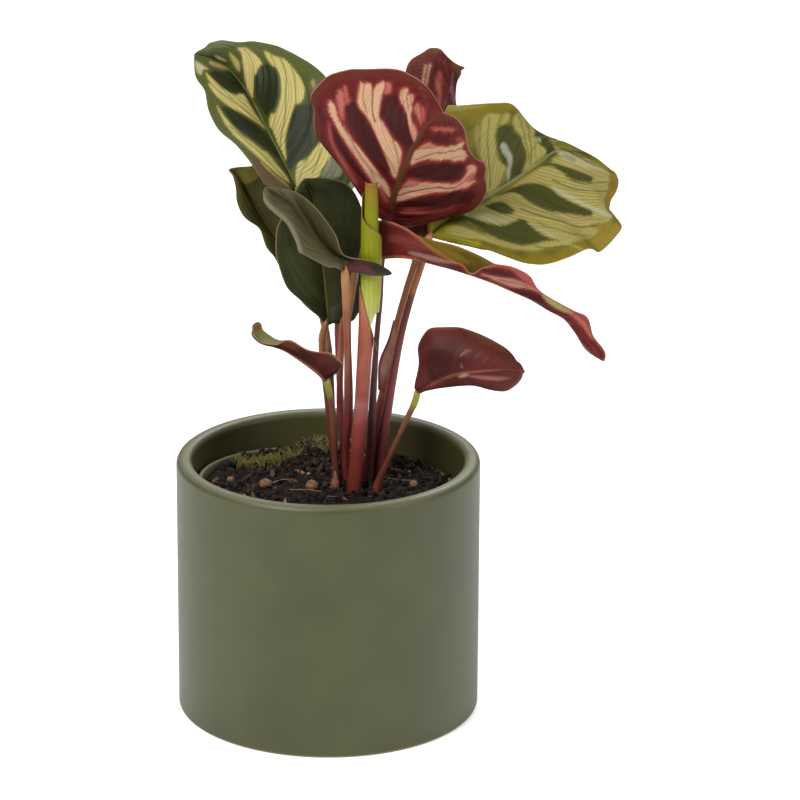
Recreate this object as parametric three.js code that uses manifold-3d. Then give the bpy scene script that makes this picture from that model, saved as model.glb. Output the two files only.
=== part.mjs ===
// A prayer plant in a straight-sided glazed pot, with its thin nursery pot inside.
// Millimetres, +Z up, origin at the centre of the pot's flat underside, front of the plant towards -Y.
import * as THREE from 'three';
import { mergeVertices } from 'three/addons/utils/BufferGeometryUtils.js';
import Module from 'manifold-3d';

// ---- driving dimensions ----
const FIT_GAP = 0.3;
const POT = {
  radius: 65, height: 112.3, wall: 7, floor: 8, footRound: 1.5, lipRound: 2.8, innerRound: 4, sides: 64,
};
const LINER = {
  baseRadius: 42, rimRadius: 55, rimLip: 1, lipHeight: 3, top: 99.5, wall: 1, floor: 1.2,
  drainRadius: 6, rimLean: 0.05, sides: 40,
};
const SOIL = { edgeHeight: 97, level: 98, lump: 0.8, sides: 40, rings: [52.5, 47, 40, 33, 27, 21, 15, 9, 4] };
const MOUNDS = [
  { x: -3, y: 34, height: 7, spread: 9 },
  { x: 12, y: 2, height: 1.5, spread: 16 },
];
const ROOTING_DEPTH = 12.5;
const PEBBLES = [
  { at: [-27, 1, 99.3], size: [3.0, 2.6, 2.1], turn: 0.4 },
  { at: [-7, -3.5, 100.1], size: [3.4, 2.8, 2.4], turn: 1.3 },
  { at: [36.5, 1, 98.8], size: [2.0, 2.2, 1.7], turn: 2.2 },
  { at: [-42, 8, 98.6], size: [1.8, 1.6, 1.4], turn: 0.9 },
  { at: [14, 36, 99.2], size: [2.6, 2.2, 1.8], turn: 2.9 },
];
const BLADE = { thickness: 0.8, cellsPerStation: 2, cellsAcrossHalf: 3, baseHalf: 0.8, tipHalf: 0.6 };
const STEM = { sides: 8, steps: 12, short: 0.9 };
const ROLL = {
  centre: [17.6, -9], radii: [3.6, 4.2, 4.6, 4.4, 4.0], pitch: 1.3, thickness: 0.7, bottom: 164, top: 236.5,
  wrapTop: 231, innerStart: -200, lowWrapEnd: 360, highWrapEnd: 190, wrapEndLow: 211, wrapEndHigh: 224,
  aboveMouth: 3, columns: 18, rows: 8,
};
const SHEATH_MOUTH = { left: [13.5, 189], right: [19, 168.5] };

// ---- colours ----
const COLOUR = {
  glaze: '#5c6248', linerPlastic: '#6d7350', soil: '#2a211b', pebble: '#a5714a',
  markedGreen: '#7d8048', darkGreen: '#34402a', greyGreen: '#737a60', maroon: '#6e2f2c', mauve: '#7b4a4c',
  youngGreen: '#a8b34a', redStem: '#84443a', brownStem: '#6a3c2c', orangeStem: '#a8653f', pink: '#c98a7c',
};

// ---- leaves: stations from base to tip, each left margin, midrib, right margin, seen on the upper face ----
// swell is how far the middle of each half bulges towards the upper face, left half then right half.
const LEAVES = {
  back_left: {
    colour: COLOUR.markedGreen, swell: [2.5, 3], base: [-13, 14, 225.5], tip: [-57, 49, 276.5],
    stations: [
      [[-23.5, 8.5, 229], [-14, 15.5, 227], [0.5, 16.5, 220.5]],
      [[-32, 11.5, 239], [-17, 21, 232.5], [12, 19.5, 228.5]],
      [[-40, 19.5, 246], [-22, 30, 240], [10, 27.5, 251]],
      [[-49, 30, 253.5], [-26.5, 39.5, 246.5], [-0.5, 38.5, 268.5]],
      [[-52.5, 41, 261.5], [-32, 49, 255], [-14, 52, 275.5]],
      [[-57, 46.5, 267.5], [-38, 56, 262.5], [-29.5, 62.5, 279]],
      [[-57, 49, 272.5], [-45.5, 57, 270], [-45.5, 65.5, 278.5]],
    ],
    stem: {
      colour: COLOUR.orangeStem, short: 2.2, radii: [1.6, 1.4, 1.4, 1.4, 1.3, 1.2],
      path: [[8, 15, 99.5], [5.5, 15, 128.5], [4, 14, 161], [3.5, 14, 177.5], [-3.5, 14, 204.5]],
    },
  },
  centre: {
    colour: COLOUR.maroon, swell: [-3, -3.5], base: [26.5, 11, 212.5], tip: [47, -36, 273.5],
    stations: [
      [[36.5, 13, 211], [27, 9, 217], [17.5, 11, 219.5]],
      [[52, 11, 215.5], [27, 6, 222], [4, 7, 240.5]],
      [[63, 9, 220.5], [28.5, 0, 230.5], [-5.5, 4, 252]],
      [[66.5, 4, 233.5], [30, -7, 238.5], [-7, -2, 270.5]],
      [[63.5, -2, 245], [32, -13, 245], [3, -8, 283]],
      [[58, -11, 255.5], [35, -20, 254.5], [16.5, -14, 286]],
      [[54.5, -22, 266], [38, -28, 262], [29.5, -22, 287.5]],
      [[50.5, -31, 271.5], [42, -35, 270], [39, -30, 283.5]],
    ],
    stem: {
      colour: COLOUR.brownStem, radii: [1.9, 1.8, 1.5, 1.2, 1.1, 1.1, 1.5],
      path: [
        [17, 3.5, 99.5], [18.5, 3, 118.5], [19, 2.5, 136.5], [20.5, 5, 162.5], [22, 8, 179.5], [23, 11, 197.5],
      ],
    },
  },
  back_centre: {
    colour: COLOUR.maroon, swell: [-2, -3], base: [38.5, 13, 203.5], tip: [58, 50, 270.5],
    stations: [
      [[46, 22, 205.5], [40, 20, 209], [32.5, 22, 205.5]],
      [[53, 35, 220.5], [42.5, 31, 221.5], [27, 34, 220.5]],
      [[55.5, 45, 235.5], [45.5, 40, 236.5], [27, 44, 240]],
      [[55, 52, 252], [49, 47, 250], [30.5, 52, 257.5]],
      [[54.5, 54, 262], [52, 51, 260], [35, 56, 271]],
      [[55, 53, 267], [54.5, 51, 267], [45, 56, 278]],
    ],
    stem: {
      colour: COLOUR.brownStem, radii: [2.6, 2.4, 1.7, 1.3, 1.2, 1.2, 1.4],
      path: [
        [17.5, 13, 99], [20, 12, 115.5], [23.5, 11.5, 136], [28.7, 11, 165], [33.3, 12, 183], [36.8, 12, 195],
      ],
    },
  },
  right: {
    colour: COLOUR.markedGreen, swell: [3, 3], base: [43, 12, 206.5], tip: [124.5, 47, 222.5],
    stations: [
      [[42, 16.5, 212], [46, 15, 208.5], [52, 7.5, 205]],
      [[44, 20, 229], [52.5, 16, 214.5], [64, 1, 204]],
      [[46.5, 27, 249], [59, 18, 217.5], [79, -1, 199]],
      [[54, 34, 258.5], [66, 21, 220.5], [94, 0, 198.5]],
      [[66.5, 39, 256.5], [73.5, 25, 224], [109.5, 7, 202]],
      [[78.5, 43, 255], [81.5, 30, 228], [115.5, 14, 198.5]],
      [[86, 45, 246], [89.5, 35, 232.5], [124.5, 21, 207]],
      [[97.5, 47, 238.5], [99.5, 42, 236], [121, 30, 211]],
      [[113.5, 51, 230], [111.5, 48, 228], [124, 40, 218]],
    ],
    stem: {
      colour: COLOUR.orangeStem, radii: [2.3, 2.1, 1.6, 1.3, 1.2, 1.2, 1.3],
      path: [
        [21.6, 6.4, 99.5], [23.2, 5.8, 118], [26.3, 5.8, 138],
        [30.6, 6.5, 162.5], [34.8, 8, 179.5], [40, 10, 196],
      ],
    },
  },
  drooping: {
    colour: COLOUR.mauve, swell: [-1.5, -1.5], base: [12, 0, 197.5], tip: [117, 0, 155],
    stations: [
      [[16, 5, 209], [15.5, 1, 198.5], [16, 0, 213.5]],
      [[23.5, 6, 212], [23, -1, 201.5], [22.5, -3, 218]],
      [[32.5, 5.5, 210.5], [32.5, -5, 203], [32.5, -10, 216.5]],
      [[43, 4, 207.5], [42.5, -8, 201.5], [44, -15, 209.5]],
      [[53.5, 2, 205.5], [52, -7, 198.5], [53.5, -14, 203]],
      [[63.5, 1, 201.5], [61, -7, 195.5], [63.5, -13, 200.5]],
      [[72.5, 2, 196], [69.5, -6, 192], [72, -12, 201.5]],
      [[80, 3, 192], [77.5, -5, 188], [81, -11, 198.5]],
      [[87.5, 2, 186.5], [85.5, -4, 184], [88, -9, 190]],
      [[95, 3, 181.5], [93, -3, 179], [94.5, -7, 182.5]],
      [[102.5, 3, 176.5], [100, -2, 174.5], [102.5, -7, 178.5]],
      [[109, 1, 171.5], [105, -2, 168], [110, -7, 175]],
      [[112.5, 0, 163], [109.5, -1, 160.5], [113, -5, 165.5]],
    ],
    stem: {
      colour: COLOUR.orangeStem, radii: [1.7, 1.6, 1.4, 1.4, 1.6, 1.4],
      path: [[9, 8.5, 99.5], [5, 6, 132], [6, 1, 168.5], [8.5, -0.5, 177], [11, -0.5, 193]],
    },
  },
  dark_oval: {
    colour: COLOUR.darkGreen, swell: [2, 2], base: [-1, 3, 171], tip: [-10, 8, 233],
    stations: [
      [[-8.5, 3, 178], [-0.5, 4, 173.5], [7, 4, 170]],
      [[-17, 3, 186.5], [-1, 6, 180], [13.5, 7, 175.5]],
      [[-21.5, 4, 197.5], [-2, 8, 190.5], [15, 9, 186.5]],
      [[-22.5, 5, 208], [-3.5, 9, 202.5], [15.5, 10, 203.5]],
      [[-20, 6, 217], [-5, 10, 214.5], [14.5, 11, 217.5]],
      [[-15.5, 7, 225], [-6.5, 10, 224.5], [9, 10, 229]],
      [[-12.5, 8, 230], [-8.5, 9, 229.5], [0, 10, 232.5]],
    ],
    stem: {
      colour: COLOUR.brownStem, radii: [1.4, 1.3, 1.3, 1.8, 1.3],
      path: [[3.5, 6, 100], [0.5, 5, 126.5], [-2, 4, 154], [-2.5, 3, 163.5]],
    },
  },
  folded: {
    colour: COLOUR.greyGreen, swell: [1.5, 1], base: [7, -13, 199], tip: [-26.5, 0, 231.5],
    stations: [
      [[5.5, -16, 200], [7, -12, 200], [20, -19, 198.5]],
      [[3, -17, 201.5], [6, -10, 201], [26.5, -20, 200]],
      [[-0.5, -17, 202.5], [4.5, -9, 202.5], [19, -17, 204]],
      [[-5, -17, 204.5], [1.5, -7, 204.5], [7, -13, 205.5]],
      [[-12, -16, 208], [-3.5, -6, 209], [3, -10, 214]],
      [[-14, -14, 213.5], [-9.5, -4, 216], [-3.5, -8, 223]],
      [[-18.5, -11, 219.5], [-15, -2, 223.5], [-9.5, -6, 228.5]],
      [[-25.5, -7, 224.5], [-21, -1, 227.5], [-15.5, -3, 231]],
      [[-27, -4, 229], [-24.5, -1, 230], [-22.5, -1, 232]],
    ],
    stem: {
      colour: COLOUR.brownStem, radii: [2.2, 2.0, 1.9, 1.5, 1.8, 1.5],
      path: [[8, 0, 99.5], [7, 0, 116.5], [8.5, -2, 134.5], [8, -8, 171.5], [7.5, -11, 185.5]],
    },
  },
  far_left: {
    colour: COLOUR.darkGreen, swell: [2, 2], base: [-2.5, 14, 169.5], tip: [-42.5, 40.5, 228],
    stations: [
      [[-12, 15, 177.5], [-5, 16.5, 173.5], [0.5, 17.5, 176.5]],
      [[-22.5, 19, 194], [-11, 21, 183.5], [0.5, 23.5, 188]],
      [[-28, 23.5, 204], [-17.5, 27, 193.5], [-2.5, 31, 204]],
      [[-37.5, 31, 211.5], [-26, 33, 204.5], [-12, 38, 217]],
      [[-40, 35.5, 221], [-33.5, 38, 215], [-23, 43, 226]],
      [[-41, 39, 226], [-38.5, 40.5, 222.5], [-33.5, 44, 229]],
    ],
    stem: {
      colour: COLOUR.brownStem, radii: [1.3, 1.2, 1.2, 1.4],
      path: [[3.5, 13, 99.5], [2, 13, 124], [0.5, 13, 154.5]],
    },
  },
  low_left: {
    colour: COLOUR.mauve, swell: [-1, -1], base: [-1, -12, 150.5], tip: [-30, -12, 176],
    stations: [
      [[5.5, -19, 158], [-2.5, -14, 153], [1.5, -6, 152]],
      [[6, -20, 161.5], [-6, -15, 156.5], [0.5, -5, 157]],
      [[-3.5, -20, 166], [-12, -15, 161], [-7, -5, 160.5]],
      [[-12.5, -19, 168], [-18, -15, 165], [-15, -6, 166]],
      [[-21, -18, 169], [-23, -14, 166.5], [-20.5, -7, 167.5]],
      [[-28, -17, 170.5], [-28, -13, 167.5], [-25.5, -8, 170.5]],
      [[-31.5, -15, 172.5], [-31, -12, 170.5], [-28.5, -10, 174]],
    ],
    stem: {
      colour: COLOUR.brownStem, short: 1.3, radii: [1.5, 1.4, 1.2, 1.4],
      path: [[3.5, -2, 99], [2.5, -3, 118], [1.5, -7, 136.5]],
    },
  },
  low_right: {
    colour: COLOUR.mauve, swell: [-1.5, -2.5], base: [38, -16, 147], tip: [82, -26, 159],
    stations: [
      [[41.5, -18, 147.5], [40, -18, 149], [36.5, -15, 150]],
      [[47.5, -20, 149.5], [44.5, -21, 152], [37.5, -14, 160]],
      [[55, -22, 151.5], [49.5, -24, 155.5], [39, -14, 170]],
      [[62.5, -23, 151], [55, -26, 158], [46, -15, 175]],
      [[71, -24, 149], [62, -28, 159.5], [56.5, -17, 175]],
      [[77.5, -25, 151.5], [69, -29, 160.5], [67, -20, 171.5]],
      [[80.5, -26, 155], [76, -28, 160.5], [76, -23, 166]],
    ],
    stem: {
      colour: COLOUR.brownStem, radii: [1.9, 1.2, 1.0, 1.3, 1.3],
      path: [[20.5, -8, 99.5], [25.4, -10, 114], [32, -12, 130.5], [36.4, -14, 141]],
    },
  },
};

// Red stem of the young rolled leaf, which stands out of its slanted mouth.
const ROLLED_STEM = {
  colour: COLOUR.redStem, radii: [3.0, 3.0, 3.0, 3.1, 3.7, 3.9],
  path: [[11, -6, 99.5], [12, -6, 112], [14, -7, 136.5], [15.3, -8.5, 160], [16.5, -9, 178], [16.8, -9, 196]],
};
// Thin pink wing of the back stem's sheath, by its outer and inner edges from the top down.
const WING = {
  colour: COLOUR.pink, thickness: 0.7,
  outer: [[27.6, 10.2, 170], [25.4, 9.6, 161.5], [21.6, 9, 151.5], [21.2, 9.2, 139]],
  inner: [[29.4, 9, 169], [29, 8.7, 160.5], [26.2, 8.9, 150.5], [23.2, 9.2, 138]],
  rows: 8, columns: 2,
};
const BUD = { at: [2.5, -6.2, 99], height: 9, radius: 1.9, sides: 10, sunk: 1.5, steps: 6 };

// ---- helpers ----
const vec = (p) => new THREE.Vector3(...p);
const railCurve = (points) => new THREE.CatmullRomCurve3(points, false, 'catmullrom', 0.5);
const ease = (x) => THREE.MathUtils.smoothstep(x, 0, 1);

// Value at a share from 0 to 1 along a list of evenly spaced values.
function alongList(values, share) {
  const position = THREE.MathUtils.clamp(share, 0, 1) * (values.length - 1);
  const low = Math.min(Math.floor(position), values.length - 2);
  return THREE.MathUtils.lerp(values[low], values[low + 1], position - low);
}

function material(colour, roughness) {
  return new THREE.MeshStandardMaterial({ color: colour, roughness, metalness: 0 });
}

const plant = new THREE.Group();
function place(name, geometry, colour, roughness = 0.6) {
  const mesh = new THREE.Mesh(geometry, material(colour, roughness));
  mesh.name = name;
  plant.add(mesh);
  return mesh;
}

// Closes a grid of points into a sheet of even thickness, cut into triangles alike on both faces.
function sheetSolid(rows, thickness) {
  const last = rows.length - 1;
  const end = rows[0].length - 1;
  const upper = [];
  const lower = [];
  rows.forEach((row, i) => row.forEach((point, j) => {
    const across = row[Math.min(j + 1, end)].clone().sub(row[Math.max(j - 1, 0)]);
    const along = rows[Math.min(i + 1, last)][j].clone().sub(rows[Math.max(i - 1, 0)][j]);
    const normal = across.cross(along).normalize();
    upper.push(point.clone().addScaledVector(normal, thickness / 2));
    lower.push(point.clone().addScaledVector(normal, -thickness / 2));
  }));
  const at = (i, j) => i * (end + 1) + j;
  const under = upper.length;
  const index = [];
  for (let i = 0; i < last; i += 1) {
    for (let j = 0; j < end; j += 1) {
      const [a, b, c, d] = [at(i, j), at(i, j + 1), at(i + 1, j + 1), at(i + 1, j)];
      index.push(a, b, c, a, c, d);
      index.push(under + a, under + c, under + b, under + a, under + d, under + c);
    }
  }
  const rim = [];
  for (let j = 0; j < end; j += 1) rim.push(at(0, j));
  for (let i = 0; i < last; i += 1) rim.push(at(i, end));
  for (let j = end; j > 0; j -= 1) rim.push(at(last, j));
  for (let i = last; i > 0; i -= 1) rim.push(at(i, 0));
  rim.forEach((a, k) => {
    const b = rim[(k + 1) % rim.length];
    index.push(b, a, under + a, b, under + a, under + b);
  });
  const geometry = new THREE.BufferGeometry().setFromPoints([...upper, ...lower]);
  geometry.setIndex(index);
  geometry.computeVertexNormals();
  return geometry;
}

// ---- booleans ----
const wasm = await Module();
wasm.setup();

function solidOf(geometry) {
  const plain = geometry.clone();
  plain.deleteAttribute('normal');
  if (plain.getAttribute('uv')) plain.deleteAttribute('uv');
  const merged = mergeVertices(plain, 1e-4);
  return new wasm.Manifold(new wasm.Mesh({
    numProp: 3,
    vertProperties: new Float32Array(merged.getAttribute('position').array),
    triVerts: new Uint32Array(merged.getIndex().array),
  }));
}

function geometryOf(solid) {
  const mesh = solid.getMesh();
  const geometry = new THREE.BufferGeometry();
  geometry.setAttribute('position', new THREE.BufferAttribute(mesh.vertProperties, 3));
  geometry.setIndex(new THREE.BufferAttribute(mesh.triVerts, 1));
  geometry.computeVertexNormals();
  return geometry;
}

// ---- pot and liner ----
function arcPoints(cx, cy, radius, from, to, steps) {
  const points = [];
  for (let k = 0; k <= steps; k += 1) {
    const angle = THREE.MathUtils.degToRad(from + ((to - from) * k) / steps);
    points.push(new THREE.Vector2(cx + radius * Math.cos(angle), cy + radius * Math.sin(angle)));
  }
  return points;
}

// A lathe turns about Y, so its rings are stood up to turn about Z.
function turned(profile, sides) {
  return new THREE.LatheGeometry(profile, sides).rotateX(Math.PI / 2);
}

function potGeometry() {
  const { radius, height, wall, floor, footRound, lipRound, innerRound } = POT;
  const inner = radius - wall;
  return turned([
    new THREE.Vector2(0, 0),
    ...arcPoints(radius - footRound, footRound, footRound, -90, 0, 2),
    ...arcPoints(radius - lipRound, height - lipRound, lipRound, 0, 90, 4),
    ...arcPoints(inner + lipRound, height - lipRound, lipRound, 90, 180, 4),
    ...arcPoints(inner - innerRound, floor + innerRound, innerRound, 0, -90, 2),
    new THREE.Vector2(0, floor),
  ], POT.sides);
}

const linerFoot = POT.floor + FIT_GAP;
const linerSlope = (LINER.rimRadius - LINER.baseRadius) / (LINER.top - linerFoot);
const linerRadius = (z) => LINER.baseRadius + linerSlope * (z - linerFoot);

function linerGeometry() {
  const { baseRadius, rimRadius, rimLip, lipHeight, top, wall, floor, drainRadius } = LINER;
  const under = top - lipHeight;
  const profile = [
    [drainRadius, linerFoot], [baseRadius, linerFoot], [linerRadius(under), under],
    [linerRadius(under) + rimLip, under], [rimRadius + rimLip, top], [rimRadius - wall, top],
    [baseRadius - wall, linerFoot + floor], [drainRadius, linerFoot + floor], [drainRadius, linerFoot],
  ].map(([r, z]) => new THREE.Vector2(r, z));
  const geometry = turned(profile, LINER.sides);
  const position = geometry.getAttribute('position');
  for (let k = 0; k < position.count; k += 1) {
    const lean = -LINER.rimLean * (position.getX(k) + position.getY(k));
    if (position.getZ(k) > linerFoot + floor + 1) position.setZ(k, position.getZ(k) + lean);
  }
  return geometry;
}

// ---- soil and stones ----
function soilHeight(x, y) {
  const mound = MOUNDS.reduce((sum, m) => {
    const distance = Math.hypot(x - m.x, y - m.y);
    return sum + m.height * Math.exp(-((distance / m.spread) ** 2) / 2);
  }, 0);
  const lumps = Math.sin(x * 0.43 + 1.3) * Math.sin(y * 0.51 + 0.4) + 0.6 * Math.sin(x * 0.91 - y * 0.67);
  const reach = ease((SOIL.rings[0] - Math.hypot(x, y)) / 5);
  return SOIL.edgeHeight + reach * (SOIL.level - SOIL.edgeHeight + mound + SOIL.lump * lumps);
}

function soilGeometry() {
  const bottom = linerFoot + LINER.floor + FIT_GAP;
  const inside = LINER.wall + 2 * FIT_GAP;
  const profile = [
    new THREE.Vector2(0, bottom),
    new THREE.Vector2(linerRadius(bottom) - inside, bottom),
    ...SOIL.rings.map((r) => new THREE.Vector2(r, SOIL.edgeHeight)),
    new THREE.Vector2(0, SOIL.edgeHeight),
  ];
  const geometry = turned(profile, SOIL.sides);
  const position = geometry.getAttribute('position');
  for (let k = 0; k < position.count; k += 1) {
    if (position.getZ(k) > bottom + 1) position.setZ(k, soilHeight(position.getX(k), position.getY(k)));
  }
  return geometry;
}

function pebbleGeometry({ at, size, turn }, grow = 0) {
  return new THREE.IcosahedronGeometry(1, 1)
    .scale(...size.map((s) => s + grow))
    .rotateZ(turn)
    .rotateX(turn / 4)
    .translate(...at);
}

// ---- stems ----
// Lowest stretch of a stem, straight down into the soil.
const rooted = (path) => [[path[0][0], path[0][1], path[0][2] - ROOTING_DEPTH], ...path];

function stemGeometry(path, radii, grow = 0) {
  const curve = railCurve(rooted(path).map(vec));
  const circle = new THREE.Shape().absarc(0, 0, 1, 0, 2 * Math.PI);
  const geometry = new THREE.ExtrudeGeometry(circle, {
    extrudePath: curve, steps: STEM.steps, curveSegments: STEM.sides / 2, bevelEnabled: false,
  });
  const centres = curve.getSpacedPoints(STEM.steps);
  const law = [radii[0], ...radii];
  const position = geometry.getAttribute('position');
  const point = new THREE.Vector3();
  for (let k = 0; k < position.count; k += 1) {
    point.fromBufferAttribute(position, k);
    const distances = centres.map((centre) => centre.distanceToSquared(point));
    const ring = distances.indexOf(Math.min(...distances));
    const radius = alongList(law, ring / STEM.steps) + grow;
    point.sub(centres[ring]).multiplyScalar(radius).add(centres[ring]);
    if (ring === 0) point.z -= grow;
    position.setXYZ(k, ...point);
  }
  return geometry;
}

// A stem's path ends just short of its blade's base.
function stemPath(leaf) {
  const from = vec(leaf.stem.path[leaf.stem.path.length - 1]);
  const base = vec(leaf.base);
  const short = leaf.stem.short ?? STEM.short;
  const end = base.clone().addScaledVector(base.clone().sub(from).normalize(), -short);
  return [...leaf.stem.path, end.toArray()];
}

// ---- blades ----
// Four rails beside the midrib: both margins and the swollen middle of both halves.
function bladeRails({ base, tip, stations, swell }) {
  const edge = (point, station, half) => {
    const across = vec(station[2]).sub(vec(station[0])).normalize().multiplyScalar(half);
    return [vec(point).sub(across), vec(point), vec(point).add(across)];
  };
  const rows = [
    edge(base, stations[0], BLADE.baseHalf),
    ...stations.map((station) => station.map(vec)),
    edge(tip, stations[stations.length - 1], BLADE.tipHalf),
  ];
  const last = rows.length - 1;
  const middles = rows.map(([left, midrib, right], i) => {
    const along = rows[Math.min(i + 1, last)][1].clone().sub(rows[Math.max(i - 1, 0)][1]);
    const normal = right.clone().sub(left).cross(along).normalize();
    const full = i === 0 || i === last ? 0 : 1;
    const middle = (margin, amount) => margin.clone().add(midrib).multiplyScalar(0.5)
      .addScaledVector(normal, amount * full);
    return [middle(left, swell[0]), middle(right, swell[1])];
  });
  return {
    left: railCurve(rows.map((row) => row[0])),
    leftMiddle: railCurve(middles.map((pair) => pair[0])),
    midrib: railCurve(rows.map((row) => row[1])),
    rightMiddle: railCurve(middles.map((pair) => pair[1])),
    right: railCurve(rows.map((row) => row[2])),
  };
}

// Point at t from the midrib (0) to the margin (1), on the parabola through the half's middle.
function onHalf(midrib, middle, margin, t) {
  return midrib.clone().multiplyScalar((1 - t) * (1 - 2 * t))
    .addScaledVector(middle, 4 * t * (1 - t))
    .addScaledVector(margin, t * (2 * t - 1));
}

function bladeGeometry(leaf) {
  const rails = bladeRails(leaf);
  const cells = (leaf.stations.length + 1) * BLADE.cellsPerStation;
  const half = BLADE.cellsAcrossHalf;
  const rows = [];
  for (let i = 0; i <= cells; i += 1) {
    const u = i / cells;
    const midrib = rails.midrib.getPoint(u);
    const row = [];
    for (let j = -half; j <= half; j += 1) {
      const [middle, margin] = j < 0 ? [rails.leftMiddle, rails.left] : [rails.rightMiddle, rails.right];
      row.push(onHalf(midrib, middle.getPoint(u), margin.getPoint(u), Math.abs(j) / half));
    }
    rows.push(row);
  }
  return sheetSolid(rows, BLADE.thickness);
}

// ---- young rolled leaf, wing and bud ----
const mouthRise = SHEATH_MOUTH.right[1] - SHEATH_MOUTH.left[1];
const mouthRun = SHEATH_MOUTH.right[0] - SHEATH_MOUTH.left[0];
const mouthHeight = (x) => SHEATH_MOUTH.left[1] + (mouthRise / mouthRun) * (x - SHEATH_MOUTH.left[0]);

function rolledGeometry() {
  const { centre, radii, pitch, bottom, top, wrapTop, columns } = ROLL;
  const point = (height, share) => {
    const retreat = ease((height - ROLL.wrapEndLow) / (ROLL.wrapEndHigh - ROLL.wrapEndLow));
    const wrapEnd = THREE.MathUtils.lerp(ROLL.lowWrapEnd, ROLL.highWrapEnd, retreat);
    const angle = THREE.MathUtils.lerp(ROLL.innerStart, wrapEnd, share);
    const widest = alongList(radii, (height - bottom) / (top - bottom));
    const radius = widest - (pitch * (ROLL.lowWrapEnd - angle)) / 360;
    const turn = THREE.MathUtils.degToRad(angle);
    return new THREE.Vector3(centre[0] + radius * Math.cos(turn), centre[1] + radius * Math.sin(turn), height);
  };
  const rows = [];
  for (let i = 0; i <= ROLL.rows; i += 1) {
    const row = [];
    for (let j = 0; j <= columns; j += 1) {
      const share = j / columns;
      const near = mouthHeight(point(ROLL.bottom, share).x);
      const foot = mouthHeight(point(near, share).x) + ROLL.aboveMouth;
      const head = THREE.MathUtils.lerp(top, wrapTop, ease((share - 0.5) / 0.2));
      row.push(point(THREE.MathUtils.lerp(foot, head, i / ROLL.rows), share));
    }
    rows.push(row);
  }
  return sheetSolid(rows, ROLL.thickness);
}

// The red stem's mouth is cut along a slanted plane.
function rolledStemGeometry() {
  const size = 60;
  const lean = Math.atan2(mouthRise, mouthRun);
  const block = new THREE.BoxGeometry(size, size, size)
    .translate(0, 0, size / 2)
    .rotateY(-lean)
    .translate(SHEATH_MOUTH.left[0], ROLL.centre[1], SHEATH_MOUTH.left[1]);
  const stem = solidOf(stemGeometry(ROLLED_STEM.path, ROLLED_STEM.radii));
  return geometryOf(stem.subtract(solidOf(block)));
}

function wingGeometry() {
  const outer = railCurve(WING.outer.map(vec));
  const inner = railCurve(WING.inner.map(vec));
  const rows = [];
  for (let i = 0; i <= WING.rows; i += 1) {
    const from = outer.getPoint(i / WING.rows);
    const to = inner.getPoint(i / WING.rows);
    const row = [];
    for (let j = 0; j <= WING.columns; j += 1) row.push(from.clone().lerp(to, j / WING.columns));
    rows.push(row);
  }
  return sheetSolid(rows, WING.thickness);
}

function budGeometry(grow = 0) {
  const profile = [];
  for (let k = 0; k <= BUD.steps; k += 1) {
    const share = k / BUD.steps;
    const radius = k === 0 || k === BUD.steps ? 0 : (BUD.radius + grow) * Math.sin(Math.PI * share ** 0.7);
    profile.push(new THREE.Vector2(radius, -BUD.sunk - grow + share * (BUD.height + BUD.sunk + grow)));
  }
  return turned(profile, BUD.sides).translate(...BUD.at);
}

// ---- assembly ----
place('pot', potGeometry(), COLOUR.glaze, 0.45);
place('nursery_pot', linerGeometry(), COLOUR.linerPlastic, 0.6);

const hollows = [
  ...Object.values(LEAVES).map((leaf) => stemGeometry(stemPath(leaf), leaf.stem.radii, FIT_GAP)),
  stemGeometry(ROLLED_STEM.path, ROLLED_STEM.radii, FIT_GAP),
  ...PEBBLES.map((pebble) => pebbleGeometry(pebble, FIT_GAP)),
  budGeometry(FIT_GAP),
];
const soil = hollows.reduce((left, hollow) => left.subtract(solidOf(hollow)), solidOf(soilGeometry()));
place('potting_soil', geometryOf(soil), COLOUR.soil, 0.95);
PEBBLES.forEach((pebble, k) => place(`pebble_${k + 1}`, pebbleGeometry(pebble), COLOUR.pebble, 0.8));

Object.entries(LEAVES).forEach(([name, leaf]) => {
  place(`blade_${name}`, bladeGeometry(leaf), leaf.colour, 0.5);
  place(`stem_${name}`, stemGeometry(stemPath(leaf), leaf.stem.radii), leaf.stem.colour);
});
place('blade_rolled', rolledGeometry(), COLOUR.youngGreen, 0.5);
place('stem_rolled', rolledStemGeometry(), ROLLED_STEM.colour);
place('sheath_wing', wingGeometry(), WING.colour);
place('basal_bud', budGeometry(), COLOUR.redStem);

export default plant;
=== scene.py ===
"""Looks of a prayer plant in a straight olive pot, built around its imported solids. Metres, +Z up."""

import math
import random

import bpy
import numpy as np
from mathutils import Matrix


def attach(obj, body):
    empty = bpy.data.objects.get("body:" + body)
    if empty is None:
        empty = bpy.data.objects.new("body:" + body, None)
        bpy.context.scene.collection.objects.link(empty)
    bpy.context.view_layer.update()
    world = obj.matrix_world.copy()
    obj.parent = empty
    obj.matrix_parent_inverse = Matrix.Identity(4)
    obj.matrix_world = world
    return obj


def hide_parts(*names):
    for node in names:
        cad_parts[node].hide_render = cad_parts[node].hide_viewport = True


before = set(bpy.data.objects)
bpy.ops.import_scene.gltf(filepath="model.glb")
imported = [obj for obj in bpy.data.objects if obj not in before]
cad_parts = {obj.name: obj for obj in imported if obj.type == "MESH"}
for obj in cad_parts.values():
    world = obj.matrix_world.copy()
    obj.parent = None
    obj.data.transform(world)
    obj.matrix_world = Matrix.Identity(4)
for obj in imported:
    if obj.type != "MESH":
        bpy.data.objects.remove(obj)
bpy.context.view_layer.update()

MM = 0.001
rng = random.Random(41)

# ---- camera and room ----
CAMERA_AT = (0.0, -1.650, 0.7008)
CAMERA_PITCH = math.radians(18.85)
FOCAL_PIXELS = 4097.0
PICTURE_PIXELS = 800.0
PLANT_AXIS_COLUMN = 328.3
SENSOR_MM = 36.0

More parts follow.
